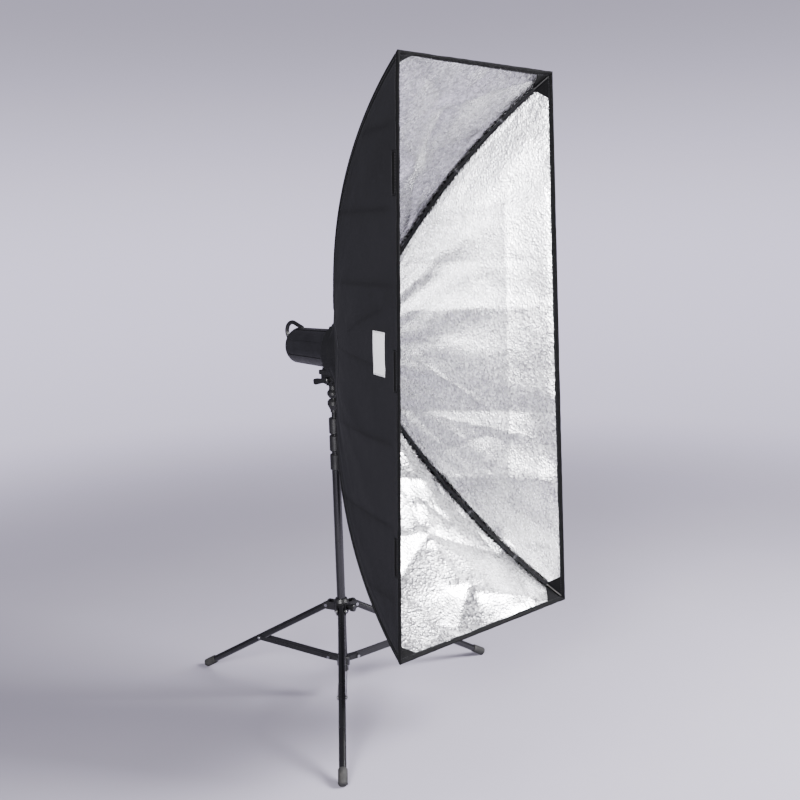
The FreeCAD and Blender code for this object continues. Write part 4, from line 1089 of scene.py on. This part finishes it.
# stitches, screws, marks and bolts by Geometry Nodes
def newTree(name, sockets):
    tree = bpy.data.node_groups.new(name, "GeometryNodeTree")
    tree.interface.new_socket("Geometry", in_out="INPUT", socket_type="NodeSocketGeometry")
    for socketName, kind, value in sockets:
        socket = tree.interface.new_socket(socketName, in_out="INPUT", socket_type=kind)
        if value is not None:
            socket.default_value = value
    tree.interface.new_socket("Geometry", in_out="OUTPUT", socket_type="NodeSocketGeometry")
    return tree, addNode(tree, "NodeGroupInput"), addNode(tree, "NodeGroupOutput")


def closeTree(tree, incoming, outgoing, geometry):
    realized = addNode(tree, "GeometryNodeRealizeInstances", {0: geometry})
    dressed = addNode(tree, "GeometryNodeSetMaterial", {
        "Geometry": realized.outputs[0], "Material": incoming.outputs["Finish"],
    })
    tree.links.new(dressed.outputs[0], outgoing.inputs[0])


def stitchTree():
    tree, incoming, outgoing = newTree("sewnStitches", [
        ("Pitch", "NodeSocketFloat", 0.0055), ("Long", "NodeSocketFloat", 0.004),
        ("Thick", "NodeSocketFloat", 0.0009), ("Finish", "NodeSocketMaterial", None),
    ])
    line = addNode(tree, "GeometryNodeMeshToCurve", {"Mesh": incoming.outputs["Geometry"]})
    spaced = addNode(tree, "GeometryNodeResampleCurve", {"Curve": line.outputs[0]})
    spaced.mode = "LENGTH"
    tree.links.new(incoming.outputs["Pitch"], spaced.inputs["Length"])
    bead = addNode(tree, "GeometryNodeMeshUVSphere", {"Segments": 6, "Rings": 4, "Radius": 0.5})
    aim = addNode(tree, "FunctionNodeAlignRotationToVector", {
        "Vector": addNode(tree, "GeometryNodeInputTangent").outputs[0],
    }, axis="Z")
    size = addNode(tree, "ShaderNodeCombineXYZ", {
        "X": incoming.outputs["Thick"], "Y": incoming.outputs["Thick"], "Z": incoming.outputs["Long"],
    })
    placed = addNode(tree, "GeometryNodeInstanceOnPoints", {
        "Points": spaced.outputs[0], "Instance": bead.outputs["Mesh"], "Rotation": aim.outputs[0],
        "Scale": size.outputs[0],
    })
    closeTree(tree, incoming, outgoing, placed.outputs[0])
    return tree


def pieceTree():
    # one shape set on every point, its Z axis along the point's facing
    tree, incoming, outgoing = newTree("setPieces", [
        ("Shape", "NodeSocketObject", None), ("Scale", "NodeSocketFloat", 1.0),
        ("Finish", "NodeSocketMaterial", None),
    ])
    facing = addNode(tree, "GeometryNodeInputNamedAttribute", {"Name": "facing"}, data_type="FLOAT_VECTOR")
    across = addNode(tree, "GeometryNodeInputNamedAttribute", {"Name": "across"}, data_type="FLOAT_VECTOR")
    shape = addNode(tree, "GeometryNodeObjectInfo", {"Object": incoming.outputs["Shape"]})
    aim = addNode(tree, "FunctionNodeAlignRotationToVector", {"Vector": facing.outputs[0]}, axis="Z")
    spin = addNode(tree, "FunctionNodeAlignRotationToVector", {
        "Rotation": aim.outputs[0], "Vector": across.outputs[0],
    }, axis="X", pivot_axis="Z")
    placed = addNode(tree, "GeometryNodeInstanceOnPoints", {
        "Points": incoming.outputs["Geometry"], "Instance": shape.outputs["Geometry"], "Rotation": spin.outputs[0],
        "Scale": incoming.outputs["Scale"],
    })
    closeTree(tree, incoming, outgoing, placed.outputs[0])
    return tree


def runTree(name, tree, base, values, body):
    # the tree's result as a plain mesh
    holder = bpy.data.objects.new(name + "Base", base)
    bpy.context.scene.collection.objects.link(holder)
    modifier = holder.modifiers.new("nodes", "NODES")
    modifier.node_group = tree
    for item in tree.interface.items_tree:
        if item.in_out == "INPUT" and item.name in values:
            modifier[item.identifier] = values[item.name]
    bpy.context.view_layer.update()
    evaluated = holder.evaluated_get(bpy.context.evaluated_depsgraph_get())
    mesh = bpy.data.meshes.new_from_object(evaluated)
    mesh.name = name
    bpy.data.objects.remove(holder)
    mesh.polygons.foreach_set("use_smooth", [True] * len(mesh.polygons))
    addObject(name, mesh, body)


sewn, setPieces = stitchTree(), pieceTree()


stitch = {
    "pitch": 0.0062, "long": 0.0044,
    "rimHalfLess": 0.010, "rimInset": 0.0022, "rimLifts": (-0.0004, 0.0010),
    "seamRows": ((0.0085, 0.0018), (0.0170, 0.0003)),  # distance from the seam, lift off the panel
    "trimInset": 0.003, "labelLift": 0.0008, "ringInset": 0.005, "ringLift": 0.0012,
}


def lineMesh(name, lines):
    points, edges = [], []
    for line in lines:
        start = len(points)
        points += [tuple(p) for p in line]
        edges += [(start + k, start + k + 1) for k in range(len(line) - 1)]
    mesh = bpy.data.meshes.new(name)
    mesh.from_pydata(points, edges, [])
    return mesh


def rimRows():
    # one row along the binding on its outside and one on its inside
    lines = []
    outside = binding["thick"] / 2 + stitch["rimLifts"][0]
    inside = -boxShape["clothThick"] - binding["thick"] / 2 + stitch["rimLifts"][1]
    for number, panel in enumerate(panels):
        half = panel["faceWidth"] / 2 - stitch["rimHalfLess"]
        xs = np.linspace(-half, half, 160)
        y = panel["length"] - binding["depth"] + stitch["rimInset"]
        for lift in (outside, inside):
            lines.append(headPlace(onPanel(number, xs, y, lift)[0]))
    return lines


def seamRows():
    # two rows on each panel beside each of its seams
    lines = []
    for number, panel in enumerate(panels):
        ys = np.linspace(0.01, panel["length"] - 0.02, 120)
        halves = halfWidth(panel, ys)
        for side in (-1, 1):
            for inset, lift in stitch["seamRows"]:
                lines.append(headPlace(onPanel(number, side * (halves - inset), ys, lift)[0]))
    return lines


def boxRow(number, x0, x1, y0, y1, lift):
    corners = [(x0, y0), (x1, y0), (x1, y1), (x0, y1), (x0, y0)]
    points = []
    for (ax, ay), (bx, by) in zip(corners, corners[1:]):
        for s in np.linspace(0, 1, 20)[:-1]:
            points.append((ax + (bx - ax) * s, ay + (by - ay) * s))
    points.append(corners[0])
    points = np.array(points)
    return headPlace(onPanel(number, points[:, 0], points[:, 1], lift)[0])


def trimRows():
    # round every hook tape and the label, and along the ring patches
    lines = []
    inset = stitch["trimInset"]
    hookHalf = trim["hookLong"] / 2 - inset
    for number, places in ((3, trim["hookPlaces"]), (1, [-p for p in trim["hookPlaces"]]), (0, (0.0,)), (2, (0.0,))):
        y1 = panels[number]["length"] - trim["hookFromRim"] - 0.002
        y0 = y1 - trim["hookWide"] + 0.004
        for x in places:
            lines.append(boxRow(number, x - hookHalf, x + hookHalf, y0, y1, trim["hookThick"]))
    middle, tall, fromRim, wide = trim["label"]
    y1 = panels[3]["length"] - fromRim
    labelHalf = tall / 2 - inset
    lines.append(boxRow(3, middle - labelHalf, middle + labelHalf, y1 - wide + inset, y1 - inset, stitch["labelLift"]))
    for number in range(4):
        turns = np.linspace(0.15, math.pi - 0.15, 60)
        xs = (ringPatchHalf(number) - stitch["ringInset"]) * np.cos(turns)
        ys = trim["ringPatchFrom"] + (trim["ringPatchReach"] - 0.006) * np.sin(turns)
        lines.append(headPlace(onPanel(number, xs, ys, stitch["ringLift"])[0]))
    return lines


for name, lines in (("rimStitches", rimRows()), ("seamStitches", seamRows()), ("trimStitches", trimRows())):
    sizes = {"Finish": sewingThread, "Pitch": stitch["pitch"], "Long": stitch["long"]}
    runTree(name, sewn, lineMesh(name, lines), sizes, "softbox")
print("stitches made")


def pointMesh(name, points, facing, across):
    mesh = bpy.data.meshes.new(name)
    mesh.from_pydata([tuple(p) for p in points], [], [])
    for attribute, values in (("facing", facing), ("across", across)):
        layer = mesh.attributes.new(attribute, "FLOAT_VECTOR", "POINT")
        layer.data.foreach_set("vector", np.asarray(values, np.float32).ravel())
    return mesh


def turnedMesh(name, profile, around=24):
    # a solid turned about Z from (radius, height) points, closed at both ends
    points = []
    for radius, height in profile:
        for k in range(around):
            angle = 2 * math.pi * k / around
            points.append((radius * math.cos(angle), radius * math.sin(angle), height))
    mesh = bpy.data.meshes.new(name)
    mesh.from_pydata(points, [], tubeFaces(len(profile), around))
    return outwards(mesh)


screwHead = {"radius": 0.0028, "high": 0.0015, "slot": 0.0009}


def makeScrewShape():
    # pan head with a cross recess
    r, h = screwHead["radius"], screwHead["high"]
    mesh = turnedMesh("screwShape", [(r * 0.98, -0.0004), (r, h * 0.35), (r * 0.86, h * 0.8), (r * 0.55, h)])
    cross = bmesh.new()
    for turn in (0, 1):
        made = bmesh.ops.create_cube(cross, size=1)
        reach = (r * 1.25, screwHead["slot"]) if turn == 0 else (screwHead["slot"], r * 1.25)
        bmesh.ops.scale(cross, vec=(*reach, h * 1.1), verts=made["verts"])
        bmesh.ops.translate(cross, vec=(0, 0, h), verts=made["verts"])
    cutMesh = bpy.data.meshes.new("screwCross")
    cross.to_mesh(cutMesh)
    cross.free()
    base, cutter = bpy.data.objects.new("screwShape", mesh), bpy.data.objects.new("screwCross", cutMesh)
    for thing in (base, cutter):
        bpy.context.scene.collection.objects.link(thing)
    carve = base.modifiers.new("carve", "BOOLEAN")
    carve.operation, carve.object, carve.solver, carve.use_self = "DIFFERENCE", cutter, "EXACT", True
    bpy.context.view_layer.update()
    made = bpy.data.meshes.new_from_object(base.evaluated_get(bpy.context.evaluated_depsgraph_get()))
    for thing in (base, cutter):
        bpy.data.objects.remove(thing)
    return shapeHolder("screwHeadShape", made)


def shapeHolder(name, mesh):
    holder = bpy.data.objects.new(name, mesh)
    bpy.context.scene.collection.objects.link(holder)
    holder.hide_render = True
    return holder


def setShape(name, shape, points, facing, across, body, finish):
    # one copy of the shape at every point
    runTree(name, setPieces, pointMesh(name, points, facing, across), {"Shape": shape, "Finish": finish}, body)


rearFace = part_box("rear_panel")[1].y - columnAxis.y  # how far the control panel stands behind the column
rearScrew = {"circle": 0.0405, "angles": (38, 142, 218, 322)}


def makeRearScrews():
    turns = [math.radians(a) for a in rearScrew["angles"]]
    circle = rearScrew["circle"]
    points = [headPlace((circle * math.cos(t), circle * math.sin(t), -rearFace)) for t in turns]
    facing = [(0, 1, 0)] * len(turns)
    across = [(math.cos(t * 3), 0, math.sin(t * 3)) for t in turns]  # each cross is turned another way
    setShape("rearScrews", makeScrewShape(), points, facing, across, "head", finishes["pin_steel"])


dialMark = {"size": (0.0030, 0.0006, 0.0003), "count": 11, "gap": 0.0035, "from": -50, "step": 28, "proud": 0.0001}


def makeDialMarks():
    # plain tick marks round the two dials
    shape = bmesh.new()
    bmesh.ops.create_cube(shape, size=1)
    bmesh.ops.scale(shape, vec=dialMark["size"], verts=shape.verts)
    mesh = bpy.data.meshes.new("tickShape")
    shape.to_mesh(mesh)
    shape.free()
    tick = shapeHolder("tickShape", mesh)
    points, across = [], []
    for node in ("power_dial", "lamp_dial"):
        low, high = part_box(node)
        middle, radius = (low + high) / 2, (high.x - low.x) / 2 + dialMark["gap"]
        for k in range(dialMark["count"]):
            angle = math.radians(dialMark["from"] + dialMark["step"] * k)
            points.append((middle.x - radius * math.cos(angle), columnAxis.y + rearFace + dialMark["proud"],
                           middle.z + radius * math.sin(angle)))
            across.append((-math.cos(angle), 0, math.sin(angle)))
    setShape("dialMarks", tick, points, [(0, 1, 0)] * len(points), across, "head", panelPrint)


makeRearScrews()
makeDialMarks()

pivotBolt = {
    "profile": ((0.0046, 0), (0.0050, 0.0006), (0.0048, 0.0016), (0.0036, 0.0027), (0.0016, 0.0032)),
    "fromMiddle": 0.0121,  # out to the strip's outer face
}


def makePivotBolts():
    # domed bolt heads outside the strips at each leg's pivot; they ride on the strips
    cap = shapeHolder("boltShape", turnedMesh("boltShape", pivotBolt["profile"]))
    for number in (1, 2, 3):
        middle = nodeMiddle(f"leg_rivet_{number}")
        outward = Vector((middle.x - columnAxis.x, middle.y - columnAxis.y, 0)).normalized()
        tangent = Vector((-outward.y, outward.x, 0))
        points = [middle + side * tangent * pivotBolt["fromMiddle"] for side in (1, -1)]
        setShape(f"legPivotBolts{number}", cap, points, [tangent, -tangent], [outward, outward],
                 f"brace_{number}", finishes["pin_steel"])


makePivotBolts()
print("screws, marks and bolts made")

# the shapes that the trees copied are no longer needed
for helper in [o for o in bpy.context.scene.objects if o.name.endswith("Shape") and o.hide_render]:
    bpy.data.objects.remove(helper)
